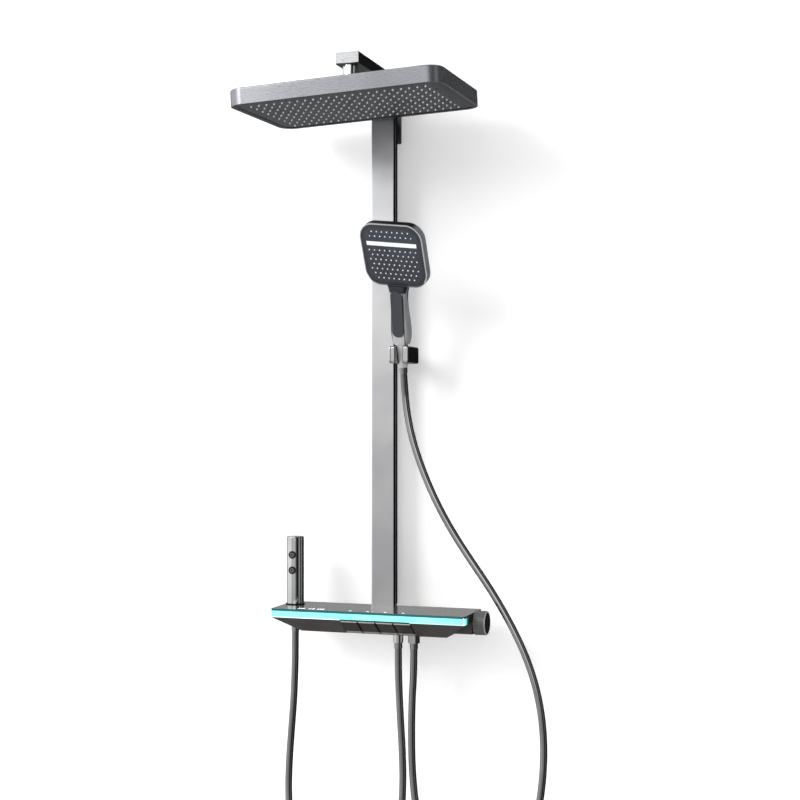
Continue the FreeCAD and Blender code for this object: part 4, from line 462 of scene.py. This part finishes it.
ROSE_FRAME = frame_at((0, -0.241, 1.024), (-2.43, "Y"), (1.5, "X"))
HOLDER_FRAME = frame_at((0.054, -0.090, 0.523), (3.35, "Y"), (20.0, "X"))
HAND_FRAME = HOLDER_FRAME @ frame_at((0, 0, 0), (-10.5, "Z"))
FACE_FRAME = HAND_FRAME @ frame_at((0, -0.0152, 0.2035), (11.0, "X"))

GUNMETAL = Satin("gunmetal_paint", "9A9B9D", "88898C", roughness=0.34, grain=Grain.UPRIGHT)
TRIM = Satin("gunmetal_trim", "B4B5B7", "9C9D9F", roughness=0.22)
DARK_TRIM = Satin("dark_trim", "3A3B3E", "2B2C2F", roughness=0.26)
HEAD = Satin(
    "rose_shell", "8B8C90", "84858A", metallic=0.72, roughness=0.28, roughness_spread=0.02,
    grain=Grain.ACROSS, grain_strength=0.01)
HEAD_RIM = Satin("rose_rim", "33343A", "26272C", metallic=0.5, roughness=0.35)
HAND_FACE = Satin("hand_face", "33353C", "2A2C33", metallic=0.3, roughness=0.34)
HAND_GRIP = Satin("grip_rubber", "35373B", "2D2F33", metallic=0.1, roughness=0.5)
HULL = Satin("hull_satin", "4E4B48", "413E3C", metallic=0.35, roughness=0.42)
GLOSS = Satin("black_gloss", "0D0C0D", "080708", metallic=0.0, roughness=0.14, coat=0.4)
CHROME = Satin("dark_chrome", "DADBDB", "C9CACA", roughness=0.12, grain_strength=0.02)
STEEL = Satin("bright_steel", "C4C6C8", "ABADAF", roughness=0.25)
BRASS = Satin("turned_brass", "C9A765", "B08F50", roughness=0.28, grain=Grain.ACROSS)
PLASTIC = Satin("inner_plastic", "C9CBCC", "B5B7B9", metallic=0.0, roughness=0.5)
RUBBER = Satin("black_rubber", "1B1B1C", "131314", metallic=0.0, roughness=0.62)
BOARD = Satin("light_board", "E6EBE8", "CFD6D2", metallic=0.0, roughness=0.4)
WHITE = Satin("white_strip", "FBFCFC", "F2F3F4", metallic=0.0, roughness=0.3, coat=0.4)
HOSE = Satin(
    "hose_skin", "9C9C9E", "8C8C8E", roughness=0.14, roughness_spread=0.03,
    grain_strength=0.03)
MARK = Satin("white_print", "FBFCFC", "EEF0F0", metallic=0.0, roughness=0.5, glow=0.9)
CONE = Satin("pale_cone", "DCDADA", "CBC9C9", metallic=0.35, roughness=0.3)


def dress(finish: object, *nodes: str) -> None:
    """Give frame nodes a finish.

    Args:
        finish: Anything with a material.
        nodes: The frame nodes' names.
    """
    for name in nodes:
        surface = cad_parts[name].data
        surface.materials.clear()
        surface.materials.append(finish.material())


def put_on(piece: bpy.types.Object, finish: object, body: str) -> bpy.types.Object:
    """Finish a new piece and let it ride on a body.

    Args:
        piece: The new piece, at the origin.
        finish: Anything with a material.
        body: The body that it moves with.

    Returns:
        The piece.
    """
    piece.data.materials.clear()
    piece.data.materials.append(finish.material())
    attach(piece, body)
    REPORT.info("%s rides on %s", piece.name, body)
    return piece


def deselect() -> None:
    """Leave every object unselected."""
    bpy.ops.object.select_all(action="DESELECT")


@contextmanager
def editing(piece: bpy.types.Object) -> Iterator[None]:
    """Open a piece in edit mode with nothing selected, and close it afterwards.

    Args:
        piece: The mesh to edit.

    Yields:
        Nothing, while edit mode lasts.
    """
    deselect()
    piece.select_set(True)
    bpy.context.view_layer.objects.active = piece
    bpy.ops.object.mode_set(mode="EDIT")
    bpy.ops.mesh.select_all(action="DESELECT")
    yield
    bpy.ops.object.mode_set(mode="OBJECT")


def pick_vertices(piece: bpy.types.Object, test: Callable[[Vector], bool]) -> None:
    """Select the vertices whose place passes a test, in edit mode.

    Args:
        piece: The mesh in edit mode.
        test: Takes a vertex's place.
    """
    bpy.ops.mesh.select_mode(type="VERT")
    mesh = bmesh.from_edit_mesh(piece.data)
    for vertex in mesh.verts:
        vertex.select_set(test(vertex.co))
    mesh.select_flush_mode()
    bmesh.update_edit_mesh(piece.data)


def settle(piece: bpy.types.Object, name: str, where: Matrix) -> bpy.types.Object:
    """Name a piece, carry it to its place, apply the move and smooth its faces.

    Args:
        piece: The new piece.
        name: The piece's name.
        where: The frame that its mesh was drawn in.

    Returns:
        The piece, whose object is at the origin.
    """
    piece.name = name
    piece.data.name = name
    deselect()
    piece.select_set(True)
    bpy.context.view_layer.objects.active = piece
    piece.matrix_world = where @ piece.matrix_world
    bpy.ops.object.transform_apply(location=True, rotation=True, scale=True)
    bpy.ops.object.shade_smooth_by_angle(angle=SMOOTH_ANGLE)
    return piece


def standing(place: Point, along: Point = (0, 0, 1)) -> Matrix:
    """Return the frame at a place whose upward axis lies along a direction."""
    return Matrix.Translation(place) @ Vector(along).to_track_quat("Z", "Y").to_matrix().to_4x4()


def lettering(name: str, figures: str, height: float, place: Point) -> bpy.types.Object:
    """Print a few figures as thin raised shapes that face upwards.

    Args:
        name: The piece's name.
        figures: Plain figures.
        height: Their height.
        place: The middle of the row.

    Returns:
        The printed row.
    """
    deselect()
    bpy.ops.object.text_add()
    piece = bpy.context.object
    piece.data.body = figures
    piece.data.size = height
    piece.data.extrude = PRINT_THICK
    piece.data.offset = PRINT_WEIGHT
    piece.data.align_x = "CENTER"
    piece.data.align_y = "CENTER"
    piece.data.resolution_u = LETTER_STEPS
    bpy.ops.object.convert(target="MESH")
    with editing(piece):
        bpy.ops.mesh.select_all(action="SELECT")
        bpy.ops.mesh.remove_doubles(threshold=MERGE_DISTANCE)
        bpy.ops.mesh.normals_make_consistent(inside=False)
    return settle(piece, name, Matrix.Translation(place))


def ring(inner: float, outer: float, thick: float) -> Profile:
    """Return the section of a flat ring."""
    return [(inner, 0.0), (outer, 0.0), (outer, thick), (inner, thick), (inner, 0.0)]


def lathe(name: str, profile: Profile, where: Matrix) -> bpy.types.Object:
    """Turn a profile about the upward axis of a frame.

    Args:
        name: The piece's name.
        profile: Pairs of a radius and a height.
        where: The frame of the turned piece.

    Returns:
        The turned piece.
    """
    deselect()
    bpy.ops.mesh.primitive_plane_add(size=profile[0][0] or MM)
    piece = bpy.context.object
    first = piece.data.vertices[0].co.copy()
    with editing(piece):
        pick_vertices(piece, lambda place: (place - first).length > MERGE_DISTANCE)
        bpy.ops.mesh.delete(type="VERT")
        bpy.ops.mesh.select_all(action="SELECT")
        here = Vector((profile[0][0], 0, profile[0][1]))
        bpy.ops.transform.translate(value=here - first)
        for radius, height in profile[1:]:
            there = Vector((radius, 0, height))
            bpy.ops.mesh.extrude_region_move(TRANSFORM_OT_translate={"value": there - here})
            here = there
        bpy.ops.mesh.select_all(action="SELECT")
        bpy.ops.mesh.spin(
            steps=ROUND_STEPS, angle=math.tau, center=(0, 0, 0), axis=(0, 0, 1))
        bpy.ops.mesh.select_all(action="SELECT")
        bpy.ops.mesh.remove_doubles(threshold=MERGE_DISTANCE)
        bpy.ops.mesh.normals_make_consistent(inside=False)
    return settle(piece, name, where)


@dataclass
class Hose:
    """A free hose: a smooth tube of its real length, with a crimped sleeve at each end."""

    name: str
    route: tuple[Point, ...]
    length: float
    diameter: float
    body: str
    stays_from: Point
    follows_from: Point
    nut: str
    sleeve_radius: float = 7.9 * MM
    sleeve_length: float = 12 * MM
    groove_shares: tuple[float, ...] = (0.3, 0.5, 0.7)
    route_steps: int = 10
    section_steps: int = 6

    def centreline(self) -> bpy.types.Object:
        """Draw the smooth line that the hose follows."""
        curve = bpy.data.curves.new(self.name, "CURVE")
        curve.dimensions = "3D"
        spline = curve.splines.new("NURBS")
        spline.points.add(len(self.route) - 1)
        for point, place in zip(spline.points, self.route):
            point.co = (*place, 1.0)
        spline.order_u = 3
        spline.use_endpoint_u = True
        curve.resolution_u = self.route_steps
        line = bpy.data.objects.new(self.name, curve)
        bpy.context.scene.collection.objects.link(line)
        return line

    def tube(self) -> bpy.types.Object:
        line = self.centreline()
        bpy.context.view_layer.update()
        path = [tuple(vertex.co) for vertex in bpy.data.meshes.new_from_object(line).vertices]
        line.data.bevel_depth = self.diameter / 2
        line.data.bevel_resolution = self.section_steps
        line.data.use_fill_caps = True
        deselect()
        line.select_set(True)
        bpy.context.view_layer.objects.active = line
        bpy.ops.object.convert(target="MESH")
        tube = bpy.context.object
        with editing(tube):
            bpy.ops.mesh.select_all(action="SELECT")
            bpy.ops.mesh.remove_doubles(threshold=MERGE_DISTANCE)
            bpy.ops.mesh.normals_make_consistent(inside=False)
        settle(tube, self.name + "_tube", Matrix.Identity(4))
        tube.data.materials.clear()
        tube.data.materials.append(HOSE.material())
        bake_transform(tube)
        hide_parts(self.name)
        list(self.sleeves())
        REPORT.info("%s is %.2f m long", self.name, self.length)
        return tube

    def sleeves(self) -> list[bpy.types.Object]:
        """Turn the two crimped sleeves, each with three grooves."""
        ends = [
            (self.route[0], self.route[1], self.body, "_upper_sleeve"),
            (self.route[-1], self.route[-2], "root", "_lower_sleeve"),
        ]
        return [
            put_on(
                lathe(
                    self.name + ending, self.sleeve_profile(),
                    standing(start, Vector(onward) - Vector(start))),
                TRIM, body)
            for start, onward, body, ending in ends
        ]

    def sleeve_profile(self) -> Profile:
        """Return the sleeve's section, from the hose's skin round to it again."""
        inner = self.diameter / 2
        outer = self.sleeve_radius
        groove = (outer - inner) / 3
        edge = groove / 2
        places = [(inner, 0.0), (outer - edge, 0.0), (outer, edge)]
        for share in self.groove_shares:
            level = share * self.sleeve_length
            places += [
                (outer, level - groove), (outer - groove, level), (outer, level + groove)]
        return [
            *places, (outer, self.sleeve_length - 2 * edge),
            (inner + edge / 2, self.sleeve_length), (inner, self.sleeve_length), (inner, 0.0)]


@dataclass
class Camera:
    """The photograph's viewpoint: level, a little to the right of the shower."""

    place: Point = (0.950, -2.816, 0.405)
    yaw: float = math.radians(18.3)
    lens: float = 65.7
    rise: float = 0.01875

    def build(self) -> None:
        """Set up the scene's camera."""
        data = bpy.data.cameras.new("camera")
        data.lens = self.lens
        data.shift_y = self.rise
        camera = bpy.data.objects.new("camera", data)
        camera.location = self.place
        camera.rotation_euler = (math.pi / 2, 0, self.yaw)
        bpy.context.scene.collection.objects.link(camera)
        bpy.context.scene.camera = camera


@dataclass(frozen=True)
class Arc:
    """A smooth step in the world's tone, between two directions in degrees around the shower."""

    way: str
    start: float
    end: float
    first: float
    last: float


@dataclass
class Studio:
    """A white wall and floor, a soft key light from the upper left and a dark right side."""

    wall_half: float = 5.0
    wall_gap: float = 0.5 * MM
    floor_level: float = -1.05
    white: str = "F2F2F2"
    wall_glow: float = 0.25
    sheet_roughness: float = 0.9
    key_place: Point = (-2.3, -3.0, 2.4)
    key_aim: Point = (0.0, 0.0, 0.35)
    key_size: float = 1.6
    key_power: float = 85.0
    fill_place: Point = (0.4, -4.2, 1.2)
    fill_size: float = 2.6
    fill_power: float = 20.0
    left_back: float = 0.4
    left: float = 1.35
    front_share: float = 0.54
    dark_share: float = 0.02
    stripe: float = 0.5
    right_back: float = 0.03
    low_share: float = 0.6
    high_share: float = 1.2
    low_rise: float = -0.35
    high_rise: float = 0.4

    def build(self) -> None:
        """Set the colour handling, the world, the wall, the floor and the lamps."""
        bpy.context.scene.view_settings.view_transform = "Standard"
        self.world()
        wall = self.sheet("wall", (math.pi / 2, 0, 0), (0, self.wall_gap, 0))
        floor = self.sheet("floor", (0, 0, 0), (0, 0, self.floor_level))
        self.lamp("key_light", self.key_place, self.key_size, self.key_power)
        self.lamp("fill_light", self.fill_place, self.fill_size, self.fill_power)

    def sheet(self, name: str, turn: Point, place: Point) -> bpy.types.Object:
        """Lay a large pale sheet."""
        bpy.ops.mesh.primitive_plane_add(size=2 * self.wall_half, rotation=turn, location=place)
        sheet = bpy.context.object
        sheet.name = name
        sheet.data.materials.append(self.pale())
        return sheet

    def pale(self) -> bpy.types.Material:
        """Return the sheets' white, clear from behind and to the metal's reflections."""
        name = "studio_white"
        if name in bpy.data.materials:
            return bpy.data.materials[name]
        graph = Paint(name)
        rays = graph.add("ShaderNodeLightPath").outputs
        glow = graph.reckon("MULTIPLY", rays["Is Camera Ray"], self.wall_glow)
        graph.setting(
            Base_Color=paint(self.white), Roughness=self.sheet_roughness, Specular_IOR_Level=0.0,
            Emission_Color=paint("FFFFFF"), Emission_Strength=glow)
        clear = graph.add("ShaderNodeBsdfTransparent")
        mixer = graph.add("ShaderNodeMixShader")
        behind = graph.add("ShaderNodeNewGeometry").outputs["Backfacing"]
        unseen = graph.reckon("MAXIMUM", behind, rays["Is Glossy Ray"])
        graph.join(unseen, mixer.inputs["Fac"])
        graph.join(graph.shader.outputs["BSDF"], mixer.inputs[1])
        graph.join(clear.outputs["BSDF"], mixer.inputs[2])
        graph.join(mixer.outputs["Shader"], graph.tree.nodes["Material Output"].inputs["Surface"])
        return graph.material

    def lamp(self, name: str, place: Point, size: float, power: float) -> None:
        """Hang a square lamp that looks at the shower."""
        data = bpy.data.lights.new(name, "AREA")
        data.size = size
        data.energy = power
        lamp = bpy.data.objects.new(name, data)
        lamp.location = place
        aim = Vector(self.key_aim) - Vector(place)
        lamp.rotation_euler = aim.to_track_quat("-Z", "Y").to_euler()
        lamp.visible_camera = False
        bpy.context.scene.collection.objects.link(lamp)

    def world(self) -> None:
        """Surround the shower with soft light, shaped by the way around and the height."""
        world = bpy.data.worlds.new("studio")
        bpy.context.scene.world = world
        graph = Graph(world)
        graph.places = graph.add("ShaderNodeTexCoord").outputs["Generated"]
        around = graph.reckon(
            "ARCTAN2", graph.along(Axis.ACROSS),
            graph.reckon("MULTIPLY", graph.along(Axis.DEEP), -1.0))
        tone = 0.0
        for arc in (
            Arc("ADD", -125, -95, self.left_back, self.left),
            Arc("MULTIPLY", -45, -20, 1.0, self.front_share),
            Arc("MULTIPLY", 8, 44, 1.0, self.dark_share),
            Arc("ADD", 60, 74, 0.0, self.stripe),
            Arc("ADD", 80, 90, 0.0, self.right_back - self.stripe),
        ):
            step = graph.spread(
                around, math.radians(arc.start), math.radians(arc.end), arc.first, arc.last)
            tone = graph.reckon(arc.way, step, tone)
        rise = graph.spread(
            graph.along(Axis.UP), self.low_rise, self.high_rise, self.low_share, self.high_share)
        light = graph.tree.nodes["Background"]
        light.inputs["Color"].default_value = paint("FFFFFF")
        graph.join(graph.reckon("MULTIPLY", tone, rise), light.inputs["Strength"])
        seen = graph.add("ShaderNodeBackground")
        seen.inputs["Color"].default_value = paint("FFFFFF")
        rays = graph.add("ShaderNodeLightPath")
        mixer = graph.add("ShaderNodeMixShader")
        graph.join(rays.outputs["Is Camera Ray"], mixer.inputs["Fac"])
        graph.join(light.outputs["Background"], mixer.inputs[1])
        graph.join(seen.outputs["Background"], mixer.inputs[2])
        graph.join(mixer.outputs["Shader"], graph.tree.nodes["World Output"].inputs["Surface"])


HAND_ROUTE: tuple[Point, ...] = (
    (0.0526, -0.0816, 0.500), (0.0506, -0.0689, 0.465), (0.054, -0.066, 0.416),
    (0.065, -0.067, 0.362), (0.084, -0.070, 0.308), (0.110, -0.074, 0.250),
    (0.144, -0.079, 0.190), (0.186, -0.084, 0.130), (0.231, -0.088, 0.070),
    (0.272, -0.092, 0.006), (0.306, -0.096, -0.060), (0.329, -0.100, -0.128),
    (0.340, -0.103, -0.200), (0.340, -0.106, -0.274), (0.331, -0.108, -0.346),
    (0.310, -0.109, -0.414), (0.272, -0.109, -0.472), (0.216, -0.108, -0.503),
    (0.155, -0.107, -0.492), (0.111, -0.106, -0.442), (0.088, -0.105, -0.374),
    (0.079, -0.105, -0.300), (0.077, -0.105, -0.226), (0.078, -0.105, -0.154),
    (0.082, -0.105, -0.092), (0.082, -0.105, -0.0394),
)
SPRAY_ROUTE: tuple[Point, ...] = (
    (-0.173, -0.091, -0.0173), (-0.173, -0.091, -0.062), (-0.174, -0.091, -0.114),
    (-0.176, -0.092, -0.168), (-0.180, -0.094, -0.226), (-0.184, -0.096, -0.286),
    (-0.185, -0.099, -0.348), (-0.180, -0.102, -0.410), (-0.164, -0.104, -0.466),
    (-0.132, -0.105, -0.514), (-0.084, -0.106, -0.540), (-0.028, -0.106, -0.532),
    (0.018, -0.106, -0.494), (0.045, -0.106, -0.438), (0.057, -0.106, -0.374),
    (0.060, -0.105, -0.310), (0.058, -0.105, -0.246), (0.054, -0.105, -0.182),
    (0.051, -0.105, -0.122), (0.050, -0.105, -0.074), (0.050, -0.105, -0.0394),
)


@dataclass
class Hoses:
    """The two free hoses that hang in loops below the shelf."""

    diameter: float = 14 * MM

    def build(self) -> None:
        """Make the hand shower's hose and the sprayer's."""
        Hose(
            "handset_hose", HAND_ROUTE, 1.654, self.diameter, "handset",
            stays_from=(0.056, -0.08, 0.0), follows_from=(0.056, -0.08, 0.47),
            nut="handset_hose_nut").tube()
        Hose(
            "sprayer_hose", SPRAY_ROUTE, 1.137, self.diameter, "sprayer",
            stays_from=(-0.05, -0.105, -0.54), follows_from=(-0.16, -0.105, -0.54),
            nut="sprayer_hose_nut").tube()


@dataclass
class Column:
    """The tall flat column, its bracket and foot, and the arm at its top."""

    bevel: float = 2 * MM
    side_edge: float = 0.7 * MM

    def build(self) -> None:
        """Dress the column's pieces."""
        dress(self.column_paint_and_painted_light(), "column_tube")
        dress(self.arm_paint_and_painted_light(), "arm_tube")
        dress(GUNMETAL, "wall_bracket", "column_foot", "holder_bracket")
        dress(self.arm_paint_and_painted_light(), "arm_cap")
        dress(BRASS, "arm_joiner", "arm_outlet")
        dress(STEEL, "riser_pipe", "holder_screws")

    def column_paint_and_painted_light(self) -> Satin:
        """Return the column's paint: a painted highlight on its left bevel and a painted dark
        reflection on its right side, with a groove.
        """
        half = high("column_tube").x
        groove = middle("column_tube").y
        side = above(Axis.ACROSS, half - self.side_edge)
        return Satin(
            "column_paint", "BCBCBD", "AEAEB0", roughness=0.36, grain=Grain.UPRIGHT,
            bands=(
                # painted highlight along the left bevel
                Band("E2E3E4", (below(Axis.ACROSS, self.bevel - half),)),
                # painted dark reflection on the right side
                Band("0C0C0D", (side,)),
                stripe("37383A", Axis.DEEP, groove - MM, groove + MM, side),
            ))

    def arm_paint_and_painted_light(self) -> Satin:
        """Return the arm's paint: pale in front, a painted dark reflection on its right, painted
        shade below and a painted highlight on its left bevel.
        """
        corner = 0.8 * MM
        return Satin(
            "arm_paint", "9C9D9E", "929394", roughness=0.3, grain=Grain.ACROSS,
            bands=(
                # painted dark reflection on the right side
                Band("3A3A34", (above(Axis.ACROSS, high("arm_tube").x - corner),)),
                # painted shade on the underside
                Band("1D1D1B", (below(Axis.UP, low("arm_tube").z + corner),)),
                # painted highlight along the left bevel
                Band("DCDDDD", (below(Axis.ACROSS, low("arm_tube").x + self.bevel),)),
            ))


@dataclass
class OverheadRose:
    """The large overhead rose on its ball joint."""

    mat_level: float = -34.1 * MM
    mat_centre: float = 30 * MM
    row_step: float = 13.42 * MM
    outer_row: int = 10

    def build(self) -> None:
        """Dress the rose and its joint."""
        dress(HEAD, "head_top_cover")
        dress(HEAD_RIM, "head_face_plate")
        dress(CHROME, "ball_stem", "ball_nut")
        dress(RUBBER, "ball_seal", "head_gasket")
        dress(PLASTIC, "head_water_box")
        dress(STEEL, "head_screws")
        dress(self.mat_finish(), "head_nozzle_mat")

    def mat_finish(self) -> Satin:
        """Return the dark mat's finish, whose rows of nozzles are white and grey in turn."""
        tip = below(Axis.UP, self.mat_level, NOZZLE_FADE)
        rows = range(-self.outer_row, self.outer_row + 1, 2)
        white = tuple(
            Band(
                "FFFFFF",
                (
                    tip,
                    above(Axis.DEEP, self.mat_centre + (row - 0.5) * self.row_step),
                    below(Axis.DEEP, self.mat_centre + (row + 0.5) * self.row_step),
                ),
                ROSE_FRAME)
            for row in rows
        )
        return Speckled(
            "rose_mat", "3D3F45", "2A2C31", metallic=0.0, roughness=0.4, speck="4C4F57",
            grain_scale=420.0, grain_strength=0.15, grain_deep=0.05 * MM,
            bands=(Band("5E6167", (tip,), ROSE_FRAME), *white))


@dataclass
class HandShower:
    """The flat hand shower in its block holder."""

    mat_level: float = -0.1 * MM
    neck_low: float = 128 * MM
    neck_high: float = 152 * MM
    neck_front: float = -3 * MM
    neck_fade: float = 3 * MM
    head_end: float = 60 * MM
    wide_fade: float = 6 * MM
    rim_deep: float = 1.6 * MM
    grip_half: float = 12.5 * MM
    grip_deep: float = 9 * MM
    grip_fade: float = 2 * MM
    left_shade_gap: float = 1.6 * MM
    right_shade_line: float = 1.4 * MM

    def build(self) -> None:
        """Dress the hand shower and its holder."""
        dress(self.shell_paint_and_painted_light(), "handset_shell")
        dress(HAND_FACE, "handset_face")
        dress(self.mat_finish(), "handset_nozzles")
        dress(WHITE, "handset_strip")
        dress(HAND_GRIP, "handset_grip_panel")
        dress(CONE, "handset_hose_cone")
        dress(self.holder_plate_and_painted_light(), "holder_block")
        dress(RUBBER, "holder_liner")

    def shell_paint_and_painted_light(self) -> Satin:
        """Return the shell's metallic paint, black on top of the head and dark at the neck, with
        a painted highlight along the head's front rim and painted shade on the handle's sides.
        """
        behind = above(Axis.DEEP, self.rim_deep)
        grip = below(Axis.UP, self.neck_low, self.grip_fade)
        neck = (
            above(Axis.UP, self.neck_low, self.neck_fade),
            below(Axis.UP, self.neck_high, self.neck_fade),
            below(Axis.DEEP, self.neck_front, self.wide_fade),
        )
        top = (above(Axis.UP, self.head_end, self.wide_fade), behind)
        foot = (below(Axis.UP, -self.head_end, self.wide_fade), behind)
        edge = self.grip_half
        return Speckled(
            "plated_shell", "A3A5A9", "919397", metallic=0.45, roughness=0.36,
            grain_scale=1500.0,
            bands=(
                Band("0B0B0C", top, FACE_FRAME),
                Band("161617", foot, FACE_FRAME),
                # painted highlight along the head's front rim
                Band("B9BABD", (below(Axis.DEEP, self.rim_deep),), FACE_FRAME),
                # painted shade on the handle's left side
                Band("0E0E0F", (below(Axis.ACROSS, -edge - self.left_shade_gap), grip), HAND_FRAME),
                # painted shade line along the handle's right front edge
                Band("2A2A2D", (
                    above(Axis.ACROSS, edge), below(Axis.ACROSS, edge + self.right_shade_line), grip,
                    below(Axis.DEEP, -self.grip_deep)), HAND_FRAME),
                # painted shade on the back of the handle's right side
                Band("505053", (
                    above(Axis.ACROSS, edge), above(Axis.DEEP, self.grip_deep, self.neck_fade),
                    grip), HAND_FRAME),
                Band("2B2D32", neck, HAND_FRAME),
            ))

    def mat_finish(self) -> Satin:
        """Return the bluish mat's finish, with white nozzles in front of its plane."""
        return Speckled(
            "hand_mat", "2C303A", "1E2128", metallic=0.0, roughness=0.4, speck="3C414D",
            grain_scale=420.0, grain_strength=0.15, grain_deep=0.05 * MM,
            bands=(
                Band("FFFFFF", (below(Axis.DEEP, self.mat_level, NOZZLE_FADE),), FACE_FRAME),
            ))

    def holder_plate_and_painted_light(self) -> Satin:
        """Return the holder's bright facets, painted shade in their grooves and a painted dark
        reflection on its right side.
        """
        left, right = low("holder_block").x, high("holder_block").x
        front_deep, width = 4 * MM, 1.4 * MM
        first, second, third = 3.4 * MM, 12.2 * MM, 13.6 * MM
        front = below(Axis.DEEP, low("holder_block").y + front_deep, MM)
        # painted shade in four grooves on the front face
        grooves = tuple(
            stripe("0D0D0D", Axis.ACROSS, place, place + width, front)
            for place in (left + first, left + second, right - third, right - 2 * width)
        )
        return Satin(
            "holder_plate", "D2D2D2", "C0C0C0", roughness=0.2,
            # the last band is a painted dark reflection on the right side
            bands=(*grooves, Band("2D2D28", (above(Axis.ACROSS, right - MM),))))


@dataclass
class MixerShelf:
    """The glass-topped mixer shelf, its light strip, its keys and its knob."""

    print_height: float = 15 * MM
    marks_back: float = -157 * MM
    figures_behind: float = 4 * MM
    mark_inner: float = 0.8 * MM
    mark_outer: float = 2.8 * MM
    mark_thick: float = 0.1 * MM
    glass_rim: float = 0.4 * MM

    def build(self) -> None:
        """Dress the shelf and what it holds, and print the shelf's plain figures."""
        dress(self.glass_and_painted_light(), "shelf_plate")
        dress(self.strip_glow_and_painted_glint(), "light_guide")
        dress(HULL, "mixer_cover")
        dress(self.key_finish(), "key_1", "key_2", "key_3", "key_4")
        dress(BOARD, "led_board")
        dress(GLOSS, "display_module", "knob_cap")
        dress(self.knob_finish(), "temperature_knob")
        dress(BRASS, "valve_body", "thermostatic_cartridge", "outlet_unions", "inlet_unions")
        dress(STEEL, "cartridge_spindle", "cover_screws")
        dress(PLASTIC, "key_valves", "generator_housing", "generator_rotor")
        dress(CHROME, "inlet_nuts", "rosettes", "handset_hose_nut", "sprayer_hose_nut")
        self.prints()

    def glass_and_painted_light(self) -> Satin:
        """Return the smoked glass, with the strip's light painted along its front edge and a
        black right edge.
        """
        return Satin(
            "smoked_glass", "454342", "3B3938", metallic=0.0, roughness=0.24,
            grain_strength=0.02, coat=0.7, coat_roughness=0.06,
            bands=(
                # painted light from the strip along the glass's front edge
                Band("1D5A5F", (below(Axis.DEEP, low("shelf_plate").y + self.glass_rim),)),
                Band("080808", (above(Axis.ACROSS, high("shelf_plate").x - self.glass_rim),)),
            ))

    def strip_glow_and_painted_glint(self) -> LightStrip:
        """Return the strip's glow, its lines above and below, and a painted glint at its front
        corner.
        """
        lowest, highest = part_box("light_guide")
        line, glint_width = 1.6 * MM, 3 * MM
        dim, dim_fade = 14 * MM, 16 * MM
        black, black_fade = 28 * MM, 14 * MM
        foot = below(Axis.UP, lowest.z + line)
        keys_left, keys_right = low("key_1").x, high("key_4").x
        side = above(Axis.ACROSS, highest.x - self.glass_rim)
        glint = below(Axis.DEEP, lowest.y + MM)
        return LightStrip(
            "lit_acrylic", "74F2E6", "76DCD9", metallic=0.0, roughness=0.25, glow=0.92,
            bands=(
                Band("CBFFFA", (foot,)),
                stripe("123F42", Axis.ACROSS, keys_left, keys_right, foot),
                Band("A5CFCB", (foot, above(Axis.ACROSS, keys_right + line))),
                Band("1B5A5E", (above(Axis.UP, highest.z - line),)),
                # painted glint at the front right corner
                stripe("F4FFFF", Axis.ACROSS, highest.x - glint_width, highest.x - MM, glint),
                Band("0C3A3C", (side, above(Axis.DEEP, lowest.y + dim, dim_fade))),
                Band("040606", (side, above(Axis.DEEP, lowest.y + black, black_fade))),
            ))

    def key_finish(self) -> Satin:
        """Return the keys' finish: bright ends, a dark line and a body like the hull's."""
        lowest, highest = low("key_1").z, high("key_1").z
        lip, line = 5 * MM, 2 * MM
        return Satin(
            "key_metal", "4B4846", "403D3B", metallic=0.6, roughness=0.34,
            bands=(
                Band("DCDFDF", (above(Axis.UP, highest - lip),)),
                Band("B4ACA9", (below(Axis.UP, lowest + lip),)),
                stripe("090909", Axis.UP, lowest + lip, lowest + lip + line),
            ))

    def knob_finish(self) -> Satin:
        """Return the fluted knob's finish with the bright ring round its end."""
        return Satin(
            "knob_metal", "6F6D6D", "5A5959", metallic=0.6, roughness=0.3,
            bands=(Band("FFFFFF", (above(Axis.ACROSS, high("temperature_knob").x - MM),)),))

    def prints(self) -> None:
        """Print plain figures over the display and a small ring above each key."""
        level = high("shelf_plate").z
        across = low("display_module").x
        for name, figures, share in (("shelf_heat", "38", 0.32), ("shelf_time", "12 08", 0.72)):
            place = across + share * (high("display_module").x - across)
            put_on(
                lettering(
                    name, figures, self.print_height,
                    (place, self.marks_back + self.figures_behind, level + PRINT_THICK)),
                MARK, "root")
        for number in range(1, 5):
            place = (middle(f"key_{number}").x, self.marks_back, level)
            section = ring(self.mark_inner, self.mark_outer, self.mark_thick)
            put_on(
                lathe(f"shelf_mark_{number}", section, standing(place)),
                MARK, "root")


@dataclass
class Sprayer:
    """The slim hand sprayer in its socket."""

    ring_inner: float = 2.6 * MM
    ring_outer: float = 3.8 * MM
    ring_thick: float = 0.2 * MM

    def build(self) -> None:
        """Dress the sprayer and its socket, and ring its two buttons."""
        dress(CHROME, "sprayer_body", "sprayer_cap")
        dress(GLOSS, "sprayer_button_upper", "sprayer_button_lower")
        dress(DARK_TRIM, "sprayer_socket", "sprayer_hose_cone")
        dress(PLASTIC, "sprayer_valve")
        for side in ("upper", "lower"):
            node = f"sprayer_button_{side}"
            place = (middle(node).x, low(node).y, middle(node).z)
            section = ring(self.ring_inner, self.ring_outer, self.ring_thick)
            put_on(
                lathe(f"button_ring_{side}", section, standing(place, (0, -1, 0))),
                GUNMETAL, f"{side}_button")


def main() -> None:
    """Build the camera, the studio and every sub-assembly in order."""
    logging.basicConfig(level=logging.INFO, format="%(message)s")
    for part in (
        Camera(), Hoses(), Studio(), Column(), OverheadRose(), HandShower(), MixerShelf(),
        Sprayer(),
    ):
        part.build()
        REPORT.info("%s is dressed", type(part).__name__)


if __name__ == "__main__":
    main()
